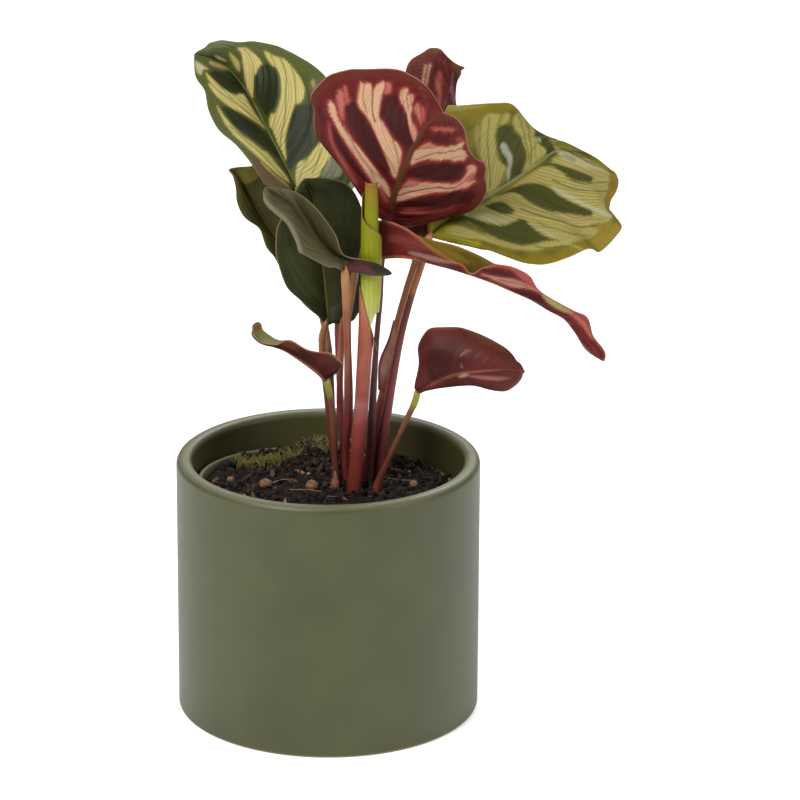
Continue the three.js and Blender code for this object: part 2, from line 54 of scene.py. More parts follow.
# ---- sizes, mm, as in the part's source ----
POT = {
    "radius": 65, "height": 112.3, "wall": 7, "floor": 8, "foot_round": 1.5, "lip_round": 2.8, "inner_round": 4,
}
SOIL_LEVEL = 98
MOUNDS = [(-3, 34, 7, 9), (12, 2, 1.5, 16)]
ROOTING_DEPTH = 12.5
BASE_HALF = 0.8
TIP_HALF = 0.6
PEBBLES = {
    "pebble_1": {"at": (-27, 1, 99.3), "size": (3.0, 2.6, 2.1), "turn": 0.4},
    "pebble_2": {"at": (-7, -3.5, 100.1), "size": (3.4, 2.8, 2.4), "turn": 1.3},
    "pebble_3": {"at": (36.5, 1, 98.8), "size": (2.0, 2.2, 1.7), "turn": 2.2},
    "pebble_4": {"at": (-42, 8, 98.6), "size": (1.8, 1.6, 1.4), "turn": 0.9},
    "pebble_5": {"at": (14, 36, 99.2), "size": (2.6, 2.2, 1.8), "turn": 2.9},
}
ROLL = {
    "centre": (17.6, -9), "radii": (3.6, 4.2, 4.6, 4.4, 4.0), "bottom": 164, "top": 236.5, "pitch": 1.3,
    "inner_start": -200, "low_wrap_end": 360, "high_wrap_end": 190, "wrap_end_heights": (211, 224),
}
MOUTH_LEFT = (13.5, 189)
MOUTH_RIGHT = (19, 168.5)
ROLLED_STEM = {
    "radii": [3.0, 3.0, 3.0, 3.1, 3.7, 3.9],
    "path": [
        [11, -6, 99.5], [12, -6, 112], [14, -7, 136.5], [15.3, -8.5, 160], [16.5, -9, 178], [16.8, -9, 196],
    ],
}
WING_OUTER = [[27.6, 10.2, 170], [25.4, 9.6, 161.5], [21.6, 9, 151.5], [21.2, 9.2, 139]]
WING_INNER = [[29.4, 9, 169], [29, 8.7, 160.5], [26.2, 8.9, 150.5], [23.2, 9.2, 138]]
BUD = {"at": (2.5, -6.2, 99), "height": 9, "radius": 1.9}

# ---- sizes and counts of the dressed part alone, mm ----
LINER = {"base_radius": 42, "rim_radius": 55, "foot": 8.3, "top": 99.5, "wall": 0.7, "lean": 0.05}
SOIL_RADIUS = 52.2
SOIL_FOOT = 60
SOIL_SUNK = 0.3
CRUMBS = 2600
CRUMB_REACH = 51
HEAP = {"at": (-3, 27), "spread": (5.5, 8), "crumbs": 330}
MOSS_TUFTS = [
    (-38, 27, 4), (-32, 27, 5), (-26, 29, 5), (-21, 30, 6), (-16, 32, 6),
    (-10, 33, 6), (-4, 35, 5), (-1, 30, 4), (4, 34, 4),
]
STRANDS_PER_TUFT = 120
MOSS_REACH = 50
TWIG = ([[5, 33, 106], [7, 33.5, 107.4], [9.5, 34, 107.6], [11.5, 35, 106.2]], 0.55)
ROOTLETS = [
    ([[-19, -6, 99.2], [-14, -8, 99.8], [-8, -7.5, 99.6], [-3, -9, 99.3]], 0.18),
    ([[-24, 2, 99.3], [-19, 4, 100.2], [-13, 3, 99.6]], 0.16),
    ([[-3, -14, 99.1], [2, -16, 99.7], [7, -15, 99.3]], 0.15),
    ([[25, 8, 99.3], [31, 4, 99.9], [38, 5, 99.2]], 0.2),
    ([[-40, -14, 98.7], [-36.5, -13, 99.6], [-34.5, -14.5, 98.9]], 0.35),
]
YOUNG_LEAF = {"tip": 236.3, "tip_drop": 5.3, "foot": 166, "foot_rise": 14, "half_thickness": 0.24, "tuck": 0.55}
SHEATH_WALL = 0.45
OUTLINE_REACH = 9.0
SIDE_VEINS = 6.0
CROSS_VEINS = 38.0

# ---- leaves, mm, as in the part's source ----
# Stations run from base to tip, each as left margin, midrib and right margin.
LEAVES = {
    "back_left": {
        "colour": "markedGreen", "swell": [2.5, 3], "base": [-13, 14, 225.5], "tip": [-57, 49, 276.5],
        "stations": [
            [[-23.5, 8.5, 229], [-14, 15.5, 227], [0.5, 16.5, 220.5]],
            [[-32, 11.5, 239], [-17, 21, 232.5], [12, 19.5, 228.5]],
            [[-40, 19.5, 246], [-22, 30, 240], [10, 27.5, 251]],
            [[-49, 30, 253.5], [-26.5, 39.5, 246.5], [-0.5, 38.5, 268.5]],
            [[-52.5, 41, 261.5], [-32, 49, 255], [-14, 52, 275.5]],
            [[-57, 46.5, 267.5], [-38, 56, 262.5], [-29.5, 62.5, 279]],
            [[-57, 49, 272.5], [-45.5, 57, 270], [-45.5, 65.5, 278.5]],
        ],
        "stem": {
            "colour": "orangeStem", "short": 2.2, "radii": [1.6, 1.4, 1.4, 1.4, 1.3, 1.2],
            "path": [[8, 15, 99.5], [5.5, 15, 128.5], [4, 14, 161], [3.5, 14, 177.5], [-3.5, 14, 204.5]],
        },
    },
    "centre": {
        "colour": "maroon", "swell": [-3, -3.5], "base": [26.5, 11, 212.5], "tip": [47, -36, 273.5],
        "stations": [
            [[36.5, 13, 211], [27, 9, 217], [17.5, 11, 219.5]],
            [[52, 11, 215.5], [27, 6, 222], [4, 7, 240.5]],
            [[63, 9, 220.5], [28.5, 0, 230.5], [-5.5, 4, 252]],
            [[66.5, 4, 233.5], [30, -7, 238.5], [-7, -2, 270.5]],
            [[63.5, -2, 245], [32, -13, 245], [3, -8, 283]],
            [[58, -11, 255.5], [35, -20, 254.5], [16.5, -14, 286]],
            [[54.5, -22, 266], [38, -28, 262], [29.5, -22, 287.5]],
            [[50.5, -31, 271.5], [42, -35, 270], [39, -30, 283.5]],
        ],
        "stem": {
            "colour": "brownStem", "radii": [1.9, 1.8, 1.5, 1.2, 1.1, 1.1, 1.5],
            "path": [
                [17, 3.5, 99.5], [18.5, 3, 118.5], [19, 2.5, 136.5], [20.5, 5, 162.5], [22, 8, 179.5],
                [23, 11, 197.5],
            ],
        },
    },
    "back_centre": {
        "colour": "maroon", "swell": [-2, -3], "base": [38.5, 13, 203.5], "tip": [58, 50, 270.5],
        "stations": [
            [[46, 22, 205.5], [40, 20, 209], [32.5, 22, 205.5]],
            [[53, 35, 220.5], [42.5, 31, 221.5], [27, 34, 220.5]],
            [[55.5, 45, 235.5], [45.5, 40, 236.5], [27, 44, 240]],
            [[55, 52, 252], [49, 47, 250], [30.5, 52, 257.5]],
            [[54.5, 54, 262], [52, 51, 260], [35, 56, 271]],
            [[55, 53, 267], [54.5, 51, 267], [45, 56, 278]],
        ],
        "stem": {
            "colour": "brownStem", "radii": [2.6, 2.4, 1.7, 1.3, 1.2, 1.2, 1.4],
            "path": [
                [17.5, 13, 99], [20, 12, 115.5], [23.5, 11.5, 136], [28.7, 11, 165], [33.3, 12, 183],
                [36.8, 12, 195],
            ],
        },
    },
    "right": {
        "colour": "markedGreen", "swell": [3, 3], "base": [43, 12, 206.5], "tip": [124.5, 47, 222.5],
        "stations": [
            [[42, 16.5, 212], [46, 15, 208.5], [52, 7.5, 205]],
            [[44, 20, 229], [52.5, 16, 214.5], [64, 1, 204]],
            [[46.5, 27, 249], [59, 18, 217.5], [79, -1, 199]],
            [[54, 34, 258.5], [66, 21, 220.5], [94, 0, 198.5]],
            [[66.5, 39, 256.5], [73.5, 25, 224], [109.5, 7, 202]],
            [[78.5, 43, 255], [81.5, 30, 228], [115.5, 14, 198.5]],
            [[86, 45, 246], [89.5, 35, 232.5], [124.5, 21, 207]],
            [[97.5, 47, 238.5], [99.5, 42, 236], [121, 30, 211]],
            [[113.5, 51, 230], [111.5, 48, 228], [124, 40, 218]],
        ],
        "stem": {
            "colour": "orangeStem", "radii": [2.3, 2.1, 1.6, 1.3, 1.2, 1.2, 1.3],
            "path": [
                [21.6, 6.4, 99.5], [23.2, 5.8, 118], [26.3, 5.8, 138], [30.6, 6.5, 162.5], [34.8, 8, 179.5],
                [40, 10, 196],
            ],
        },
    },
    "drooping": {
        "colour": "mauve", "swell": [-1.5, -1.5], "base": [12, 0, 197.5], "tip": [117, 0, 155],
        "stations": [
            [[16, 5, 209], [15.5, 1, 198.5], [16, 0, 213.5]],
            [[23.5, 6, 212], [23, -1, 201.5], [22.5, -3, 218]],
            [[32.5, 5.5, 210.5], [32.5, -5, 203], [32.5, -10, 216.5]],
            [[43, 4, 207.5], [42.5, -8, 201.5], [44, -15, 209.5]],
            [[53.5, 2, 205.5], [52, -7, 198.5], [53.5, -14, 203]],
            [[63.5, 1, 201.5], [61, -7, 195.5], [63.5, -13, 200.5]],
            [[72.5, 2, 196], [69.5, -6, 192], [72, -12, 201.5]],
            [[80, 3, 192], [77.5, -5, 188], [81, -11, 198.5]],
            [[87.5, 2, 186.5], [85.5, -4, 184], [88, -9, 190]],
            [[95, 3, 181.5], [93, -3, 179], [94.5, -7, 182.5]],
            [[102.5, 3, 176.5], [100, -2, 174.5], [102.5, -7, 178.5]],
            [[109, 1, 171.5], [105, -2, 168], [110, -7, 175]],
            [[112.5, 0, 163], [109.5, -1, 160.5], [113, -5, 165.5]],
        ],
        "stem": {
            "colour": "orangeStem", "radii": [1.7, 1.6, 1.4, 1.4, 1.6, 1.4],
            "path": [[9, 8.5, 99.5], [5, 6, 132], [6, 1, 168.5], [8.5, -0.5, 177], [11, -0.5, 193]],
        },
    },
    "dark_oval": {
        "colour": "darkGreen", "swell": [2, 2], "base": [-1, 3, 171], "tip": [-10, 8, 233],
        "stations": [
            [[-8.5, 3, 178], [-0.5, 4, 173.5], [7, 4, 170]],
            [[-17, 3, 186.5], [-1, 6, 180], [13.5, 7, 175.5]],
            [[-21.5, 4, 197.5], [-2, 8, 190.5], [15, 9, 186.5]],
            [[-22.5, 5, 208], [-3.5, 9, 202.5], [15.5, 10, 203.5]],
            [[-20, 6, 217], [-5, 10, 214.5], [14.5, 11, 217.5]],
            [[-15.5, 7, 225], [-6.5, 10, 224.5], [9, 10, 229]],
            [[-12.5, 8, 230], [-8.5, 9, 229.5], [0, 10, 232.5]],
        ],
        "stem": {
            "colour": "brownStem", "radii": [1.4, 1.3, 1.3, 1.8, 1.3],
            "path": [[3.5, 6, 100], [0.5, 5, 126.5], [-2, 4, 154], [-2.5, 3, 163.5]],
        },
    },
    "folded": {
        "colour": "greyGreen", "swell": [1.5, 1], "base": [7, -13, 199], "tip": [-26.5, 0, 231.5],
        "stations": [
            [[5.5, -16, 200], [7, -12, 200], [20, -19, 198.5]],
            [[3, -17, 201.5], [6, -10, 201], [26.5, -20, 200]],
            [[-0.5, -17, 202.5], [4.5, -9, 202.5], [19, -17, 204]],
            [[-5, -17, 204.5], [1.5, -7, 204.5], [7, -13, 205.5]],
            [[-12, -16, 208], [-3.5, -6, 209], [3, -10, 214]],
            [[-14, -14, 213.5], [-9.5, -4, 216], [-3.5, -8, 223]],
            [[-18.5, -11, 219.5], [-15, -2, 223.5], [-9.5, -6, 228.5]],
            [[-25.5, -7, 224.5], [-21, -1, 227.5], [-15.5, -3, 231]],
            [[-27, -4, 229], [-24.5, -1, 230], [-22.5, -1, 232]],
        ],
        "stem": {
            "colour": "brownStem", "radii": [2.2, 2.0, 1.9, 1.5, 1.8, 1.5],
            "path": [[8, 0, 99.5], [7, 0, 116.5], [8.5, -2, 134.5], [8, -8, 171.5], [7.5, -11, 185.5]],
        },
    },
    "far_left": {
        "colour": "darkGreen", "swell": [2, 2], "base": [-2.5, 14, 169.5], "tip": [-42.5, 40.5, 228],
        "stations": [
            [[-12, 15, 177.5], [-5, 16.5, 173.5], [0.5, 17.5, 176.5]],
            [[-22.5, 19, 194], [-11, 21, 183.5], [0.5, 23.5, 188]],
            [[-28, 23.5, 204], [-17.5, 27, 193.5], [-2.5, 31, 204]],
            [[-37.5, 31, 211.5], [-26, 33, 204.5], [-12, 38, 217]],
            [[-40, 35.5, 221], [-33.5, 38, 215], [-23, 43, 226]],
            [[-41, 39, 226], [-38.5, 40.5, 222.5], [-33.5, 44, 229]],
        ],
        "stem": {
            "colour": "brownStem", "radii": [1.3, 1.2, 1.2, 1.4],
            "path": [[3.5, 13, 99.5], [2, 13, 124], [0.5, 13, 154.5]],
        },
    },
    "low_left": {
        "colour": "mauve", "swell": [-1, -1], "base": [-1, -12, 150.5], "tip": [-30, -12, 176],
        "stations": [
            [[5.5, -19, 158], [-2.5, -14, 153], [1.5, -6, 152]],
            [[6, -20, 161.5], [-6, -15, 156.5], [0.5, -5, 157]],
            [[-3.5, -20, 166], [-12, -15, 161], [-7, -5, 160.5]],
            [[-12.5, -19, 168], [-18, -15, 165], [-15, -6, 166]],
            [[-21, -18, 169], [-23, -14, 166.5], [-20.5, -7, 167.5]],
            [[-28, -17, 170.5], [-28, -13, 167.5], [-25.5, -8, 170.5]],
            [[-31.5, -15, 172.5], [-31, -12, 170.5], [-28.5, -10, 174]],
        ],
        "stem": {
            "colour": "brownStem", "short": 1.3, "radii": [1.5, 1.4, 1.2, 1.4],
            "path": [[3.5, -2, 99], [2.5, -3, 118], [1.5, -7, 136.5]],
        },
    },
    "low_right": {
        "colour": "mauve", "swell": [-1.5, -2.5], "base": [38, -16, 147], "tip": [82, -26, 159],
        "stations": [
            [[41.5, -18, 147.5], [40, -18, 149], [36.5, -15, 150]],
            [[47.5, -20, 149.5], [44.5, -21, 152], [37.5, -14, 160]],
            [[55, -22, 151.5], [49.5, -24, 155.5], [39, -14, 170]],
            [[62.5, -23, 151], [55, -26, 158], [46, -15, 175]],
            [[71, -24, 149], [62, -28, 159.5], [56.5, -17, 175]],
            [[77.5, -25, 151.5], [69, -29, 160.5], [67, -20, 171.5]],
            [[80.5, -26, 155], [76, -28, 160.5], [76, -23, 166]],
        ],
        "stem": {
            "colour": "brownStem", "radii": [1.9, 1.2, 1.0, 1.3, 1.3],
            "path": [[20.5, -8, 99.5], [25.4, -10, 114], [32, -12, 130.5], [36.4, -14, 141]],
        },
    },
}

# ---- markings of each blade, as lines of column,row pairs in the 800-pixel picture ----
# Besides tints of the leaf, the washes carry painted sheen, highlights and shade.
# The points were read off, and a program left out those that a line could spare.
# bands: tone from 0 (blush) to 1 (cream), strength, closed outline. veins: strength, line.
# blots: dark outlines. washes: colour, strength, outline, on the face that is seen.
# outline: lines that the margins are drawn to.
MARKINGS = {
    "back_left": {
        "bands": [
            (0.6, 0.7, "229,53 237,59 240,64 240,71 237,69 234,65"),
            (0.9, 1, "238,49 243,47.5 248,49 257,56 262,63.5 259.5,66.5 256.5,74.5 254.3,76 253.6,93 "
                     "252.8,98 246.8,86 242,56 240,51.5"),
            (1, 1, "264,51.5 270,53.5 274,56 284,59 289,63.5 293,67.5 300.5,78 303,83.5 304.5,89 304.4,94 "
                   "303,99 300.5,102.6 297.5,104.2 295.4,104.4 289,124.5 286,137 285.3,144 286.3,159 "
                   "284.5,157 280.5,147.5 277.5,142 272.5,129 270.5,127.5 269.8,122 270.4,117.5 272,113.8 "
                   "276,112.6 280.6,98 281.2,91 280.9,82 279.8,75 276.3,67.6 272.8,66 269.5,62"),
            (0.8, 0.5, "311,80.5 314,80 315.5,83 315,87 313,89 311.5,85"),
            (1, 1, "317,146 326,136 336,128 344,130 340,142 324,167 318,177.5 312,180 306,181 301,183 "
                   "295.5,190 296,184 295.6,177 296.2,171 297.5,166 300,162 306,159.5"),
            (0.3, 0.7, "210,61 214,62.5 219,63.5 224,66 229,69.5 225,70 210,64.5"),
            (1, 1, "206.5,73 220,87 224,90 235,95.2 238,94.2 241.5,95 244.5,97 259,120 262.5,125 "
                   "266.5,129.5 263,128 259,124.5 243,114 227.5,106 223,102.5 215,94.5 211,89.5 208.5,85 "
                   "209.5,83 207.5,79"),
            (0.9, 1, "217,106 225,118 237.5,131.5 243,136.5 250,141 262,150.5 267.5,154 281.5,170 289,182 "
                     "286,181 270,168.5 240,141.5 230.5,131.5 226,126 222.5,119.5 219,112"),
            (0.5, 0.6, "261,161.5 279,177.5 291,189 286,186 266,169"),
        ],
        "veins": [
            (0.5, "244,50 248,53.5 251,58.5 253.3,64 254.6,75"),
            (0.5, "271,56 275.5,65"),
            (0.7, "280,58 284.8,68 286,75 286.3,85 284.8,122 283,128 281,140 281.5,147"),
            (0.6, "291,66 295,78 296.8,103"),
            (0.35, "275.3,114 273.8,128"),
            (0.6, "321,149 317,163 312,174"),
            (0.5, "308,160 302,171 298,184"),
            (0.6, "209,81 213,86 218,90.5 258,121.5"),
            (0.4, "212,81 232,99.5"),
            (0.6, "230,126 250,145.5 257,151 284,178"),
        ],
        "blots": [
            "209,73 214,71 231,72 238,76 243,83 247,91 244,94 231,92 224,88.5 212,77",
            "262,66 268,64 273,68 277,72 279,80 280,90 279,99 276,107 271,112 269,116 266,116 262,110 "
            "258,103 256,94 255.5,85 256,77",
            "222,107 232,110 252,122 260,128 267,136 278,152 281,159 276,158 238,130 230,121 225,114",
            "292,118 297,107 304,104 310,104 314,110 312,130 314,143 312,150 306,157 294,164 290,170 "
            "287,165 287.5,155 287,144",
        ],
        "washes": [
            ("#5a3a34", 0.6, "251,152 263,166 290,190 284,190 266,186 260,180 255,171 252,162"),
            # Painted glare: a pale wash along the left margin near the tip.
            ("#c0b48a", 0.6, "195,61 199,62 208,69 203,70.5 202,75 198,74 195.5,69"),
            ("#b8a878", 0.6, "214,55.5 219,56 227,61 222,61 217,59"),
            # Painted reflection: a grey-white glint over the glossy dark part.
            ("#8d8f78", 0.5, "331,157 340,163 343,170 340,177 330,179 321,178 324,168"),
            ("#b8c09c", 0.6, "350,182 357,183 362,188 360,194 352,193 347,188"),
        ],
        "outline": [
            "285,50 278,46 254,41.2 242,42.3 236,42 222,40.2 215,41.5 208.5,43.5 205,47.5 195.5,52.5 194,58 "
            "194.5,72 197,80 204.5,90.5 207,105 209.5,113 215.5,125.5 221.7,133.3 235,144 246.7,157.7 "
            "252,165 265,186",
        ],
    },
    "centre": {
        "bands": [
            (0.1, 0.5, "329,122 332,130 334,140 338,150 356,180 354,181 340,161 331,142 329,132"),
            (1, 1, "329,102 331.5,101.5 334.5,105 338.5,116.5 344,127 354,142 363,151.5 377,170.5 382,180 "
                   "380,187 375,184 371,178.5 342,134.5 331,115 329.3,108.5"),
            (0.9, 1, "380,177 383,178 386,182 388.5,187 390,193 389.5,197 386,193 380.5,183.5"),
            (0.1, 0.8, "380,187 382.5,189 385,193.5 387.5,199 388,202 385,200 380,191.5"),
            (0.25, 0.8, "339,91 342,90 344.8,101 343,120 341.5,117 338,103 337.2,97"),
            (0.1, 0.8, "344,88 346,87 347.5,91 348,96 350,101 349.5,104 347,104.5 345.3,100 344,95"),
            (1, 1, "361.5,82.5 363.5,84 366,83 369,83.5 371.5,85 373,88 374.5,89.5 376.5,86 379.5,83.5 "
                   "382.5,82 385,82.5 384.8,87 382,96.5 379.5,113.5 382,121 393,140 396,141.5 399,144.5 "
                   "401.2,149 401.6,154.5 399,166.5 394,176.5 382,146 377,135 369.5,121 361,109 359,104 "
                   "358,98.5 360,86.5"),
            (0.2, 0.9, "386.5,84 389,82.5 391,85 391.5,89 390,92.5 387,93.5 385.5,91.5"),
            (0.9, 1, "401.5,90.5 404,89 407,88.5 408.5,91 409.5,95 411.5,94.5 413.5,95.5 412.3,104 "
                     "413,108.5 411.7,117 416.5,130 416.6,135 415.2,140.5 413,138 411.3,133 407,115.5 "
                     "400.8,98 400.5,94"),
            (0.3, 0.8, "417,105 419.5,104.5 421.5,124 419.5,121.5 416,112 416,108"),
            (0, 0.8, "422,107 424.5,110 425,115 424.5,120 423,122 421.8,118 421.3,112"),
            (0.2, 0.8, "431,128.5 435,127 441,126.8 452,128 454,129.3 452,130.8 447,131 435,129.5"),
            (0.6, 0.9, "419.5,147.5 422,145.5 426,143.5 430,142.8 434,144 438,146 435,146.8 429,146.3 "
                       "420,148.5"),
            (1, 1, "414.5,151.5 418,149 424,147.6 431,146.9 437,147 454,145.2 461,141.8 463.5,141.5 463,145 "
                   "461.5,148 465.5,152.5 466.3,155.5 464.5,158.5 461,160.3 455,160.4 448,159.4 432,159 "
                   "425,159.8 419,161.3 414,163.5 411,164 411.5,159"),
            (0, 0.8, "457,138.5 460,138 462,139.5 459,141 457,140.5"),
            (0.35, 0.8, "404,184 409,179.8 413,180 421,182 403,187"),
            (0.9, 1, "400,190 404,187.5 410,185.3 422,182 428,181.4 441,183.4 448,183.8 454,183.4 459,181.6 "
                     "462.5,178.5 465.5,174.5 467.5,170.5 466.5,168 469,165.5 472,164.5 474.5,166.5 "
                     "475.5,169.5 466,181 475,180.5 471,184 465,187 457,189.3 436,191.5 427,193 401,200 "
                     "397,200 397.5,195"),
            (0.1, 0.45, "402,211 410,209.3 430,211 445,209 455,205 450,208.5 438,212.5 425,213.5 403,213"),
        ],
        "veins": [
            (0.55, "340,119 352,142 374,176"),
            (0.35, "353,147 363,162"),
            (1, "373.5,84 372.2,104 372.8,111 376,121"),
            (0.6, "364.2,84 363.8,99 366.5,112"),
            (0.6, "392,141 395,147 399,162"),
            (0.5, "384.5,151 396,173"),
            (0.4, "403.5,90 403,96 404.5,102"),
            (0.6, "408.5,92 407.5,98 408,110"),
            (0.5, "411.5,96 410.5,102 411,107"),
            (0.7, "415.5,160 435,153.2 450,151.1 457,149.4 462,147"),
            (0.4, "452,157.5 464,155.3"),
            (0.9, "399,194.5 428,188.5 447,187.6 456,186 462,183 472,173"),
            (0.5, "405,186.8 418,182.8"),
            (0.6, "466,170.5 470,167.5"),
        ],
        "blots": [
            "347,105 352,101 357,105 371,128 387,162 390,170 386,172 380,168 373,160 359,141 352,130 "
            "347,119 345,111",
            "392,95 397,96 404,110 414,142 409,147 400,141 395,136 384,120 381,112 383,102 386,96",
            "334,128 366,176 358,176 342,155 336,144 333,135",
            "411,168 420,164.5 432,162.5 458,164 464,166 461,172 456,177 446,180 410,176",
            "405,200 432,195 470,190 474,196 468,203 456,203 442,207 426,208 410,207",
        ],
        "washes": [
            ("#b06a5e", 0.55, "409,124 412,122 415.5,126 417.5,133 415.5,141 412,138"),
            ("#b8705e", 0.4, "452,182.5 462,178 468,169 474,165 477,171 473,181 464,187.5 455,189.8"),
        ],
        "outline": [
            "407,73 415,77 422,82 430,90 437,100 444,112 455,117 461,123 465,130 467,142 469,149 472,155 "
            "479,160 486.5,164.5 485,177 487,184 487,190 484,198 479,205 472,211",
            "350,69 338,72 326,77 308.5,97 313,100.5 315,105 314,115 314,125 316,135 325,147 350,176",
        ],
    },
    "right": {
        "bands": [
            (1, 1, "484,118 487,115 491,114 497,114.5 501,115.5 500.5,119.5 499,124.5 496.5,128.5 495,134 "
                   "494.4,141 497.2,157 499,160.5 505,165.5 504.5,170 499,183 495,189 491,192 487,193 "
                   "486,180 486,168 484,163 481,158 480.2,148 480,138 480.7,128 482,122"),
            (0.3, 0.6, "476,126 479,128 479.5,148 481,158 478,153 475.5,145 474,136"),
            (0.8, 0.9, "503,116 507,113.5 509.5,115.5 509,119.5 506.5,123 503,124.5 500.5,124.5"),
            (1, 1, "514,117 518,113.5 521,113 529,121 534,131 534.5,136 536.5,140 539,144 542,146.5 545,150 "
                   "545.5,153 544,157.5 541.5,160.5 531,168.5 522,174 525.7,161 526.3,154 524.8,147 "
                   "522,140.5 519,134 513,124.5"),
            (0.9, 1, "487,203 495,196.5 511,187.5 519,181.5 535,171 551,163.5 553,158.5 558,156.5 560,152 "
                     "570,150 590,160 608,171 608.5,180 608,188 604,206 611,216 611,219 606,222.5 590,225 "
                     "596,228 598,232 594,236 588,239 576,241.5 572,244 583,249.5 578,249 570,246.5 "
                     "562,245.8 545,248 537,250.5 520,250 505,247.5 482,240 474,239 466,239.5 458,238.5 "
                     "452,236.5 447,233.5 446,229 450,226.5 456,226 463,226.8 485,234.5 480,228 470,222 "
                     "465,215 475,208"),
        ],
        "veins": [
            (0.7, "489,117 487.4,146 489.8,178 489.5,188"),
            (0.7, "500.5,116 497.5,126"),
            (0.7, "523,116 527,124 529,134 531,154 530,164"),
            (0.6, "519,116 527.5,150 527.5,160"),
            (0.4, "533,136 536,156 535,163"),
            (0.35, "540,148 541,156 539,162"),
            (0.9, "521,209.5 540,216.5 576,226 584,227 598,226"),
            (0.9, "553,180 570,188.5 580,190.5 592,191.5 606,191.5"),
            (0.6, "566,176.5 574,181 584,183.5 606,182.5"),
            (0.6, "538,222 546,226 571,234 580,235.5 590,236"),
            (0.45, "513,199.5 550,215.5 560,218"),
            (0.4, "566,215.5 575,218.5 584,219.5 594,219 604,219.5"),
            (0.6, "536,246.8 545,248 555,247.5 563,246 572,246"),
        ],
        "blots": [
            "499,128 503,125.5 509,125 513,127.5 515,132 519,136 522,141 524.5,147 526,154 525.5,160 "
            "521.5,171 519,175 514,178 512,182 508,185 505,184.5 506,180 509,174 507,168 501,161.5 "
            "495.5,139 496.5,133",
            "535,131 538,130.5 544,133.5 548,137 553,147 557,151 557,153.5 553,156.5 549,158 546.5,157.5 "
            "546.2,151 537,140 535,136",
            "557,156 562,154.8 568,155.2 573,157 576,160 575.5,162.3 571,161.3 566,158.5",
            "541,164.5 548,163.3 555,163.5 562,165.5 591.5,176.5 592.3,179.5 591,182.8 585,183 578,182 "
            "571,179.5 555,169 549,167 543,166.5",
            "496,195.8 503,191.8 522,184 530,183 537,183.3 544,185 551,188.5 563,197 584,206.5 590,209.5 "
            "593,212 592,216 586,217 555,213 541,208.5 528,202 518,195 512,193.8 505,194.5 500,196.5",
            "484,206 497,202 503,202.3 508,204.8 514.5,210.5 513.5,213.5 509,214.8 503,214.5 497,212.5",
            "451,222 456,218.3 462,216.2 469,216.5 492,223.5 500,225.2 508,224.5 518,218.8 523,219 "
            "528,221.5 535,229 540,232.8 546,236 559,240.3 546,241.5 533,245 526,246 518,245.5 494,238 "
            "470,224.5 463,222.2",
        ],
        "washes": [
            # The next four washes are painted sheen: pale grey strips where light glances off the ridges
            # between the bands.
            ("#a3a28c", 0.45, "551,186 560,189.5 592,205.5 606,211 611,214.5 610,218 596,213 562,197 555,192"),
            ("#9a9c84", 0.35, "481,212.5 510,217.5 518,217.5 507,224 499,224.5 483,220.5 470,215.5"),
            ("#9a9c84", 0.35, "530,223 560,238 556,239.5 549,237 535,229 531,226"),
            ("#a09c80", 0.45, "553,144 561,149 572,153 600,166 606,171 598,171 584,168 570,163 560,158"),
            ("#8f8a58", 0.4, "446,103 455,103.5 465,105.5 482,104.3 487,106.5 480,108.5 452,112 447,108"),
            ("#9c8468", 0.35, "556,214 590,220 590,225 580,225 570,222.5 560,219"),
            # The next three washes are painted highlights: glints of light on the bulges and folds.
            ("#a8ac98", 0.55, "500,145 503,142 507,144 509,150 512,155 513,162 511,170 510,178 507,182 "
                              "506,172 507,163 504,156 501,151"),
            ("#c2c6bc", 0.7, "537,138 540,139.5 541,142 538,141"),
            ("#b4b8a4", 0.5, "461,211 466,213 469,216 464,215"),
            ("#7f6420", 0.6, "608,172 613,173 617,177 618.5,183 618,190 616,197 611,207 607,206 606.5,200 "
                              "609,186"),
            ("#85702a", 0.6, "594,226 611,222 618,224 622,228 619,233 613,240 600,252 595,251 591,247.5 "
                              "588,243 592,238 598,234"),
            ("#7c7a1c", 0.7, "430,216 440,218 448,224 456,239 446,240 436,238 430,230"),
            ("#86841e", 0.7, "457,239 476,240 482,243 478,248 468,247 459,244"),
        ],
        "outline": [
            "444,105 457,105.5 482,103.5 497,103 512,104 527,121 535,129 550,140 561,149 585,159 600,166 "
            "615,172 618.5,182 616,192 611,200 609.5,208 611,215 622,226 613,240 600,252 592,249 585,250 "
            "575,255 565,259 553,263 542,265 530,264 520,262 485,249",
        ],
    },
    "back_centre": {
        "bands": [
            (1, 0.9, "425.5,65 427,67 425.5,72 423.5,84 422,84 424,70"),
            (1, 0.9, "429.5,64 431.5,66 429.5,71 427,84 425.8,86 426.3,79"),
            (0.1, 1, "438.5,73 441,75 440,104 438.3,102 438,93 436.5,90 436,84 437,78"),
        ],
        "washes": [
            # Painted sheen: a greyish-purple line where light glances off the blade.
            ("#a07888", 0.6, "452.5,72 454,76 453,84 455,103 452,103 451,94 450.5,84"),
            ("#554020", 0.7, "426,50 432,48 437,48 441,51 437,54 430,54"),
            ("#554020", 0.7, "452,62 465,70 461,75 455,72 452,67"),
        ],
        "outline": [
            "406,70 407,66 409,62 413,58 424,52 427,49.5 430,48 436,48 441,49 444,53 455,64.5 465,70 461,75 "
            "458,80 456.5,85 455.5,98 456,104",
        ],
    },
    "drooping": {
        "bands": [
            (0.75, 0.8, "481,273 498,276.5 514,279 528,284.5 539,291.5 526,287.8 510,286 488,277"),
            (0.3, 0.7, "570,313 576,315 582,319 587,325 592,338 589,335 585,329 580,323"),
        ],
        "veins": [
            (0.5, "498,278.5 518,283.5 528,287"),
        ],
        "blots": [
            "478,268 490,268 502,270 512,274 508,277 496,275 484,272",
            "505,288 515,288 527,290 538,293.5 545,300 540,303 518,293.5 508,290",
        ],
        "washes": [
            ("#a08a86", 0.7, "563,318 569,323 579,338 599,362 594,358 580,343"),
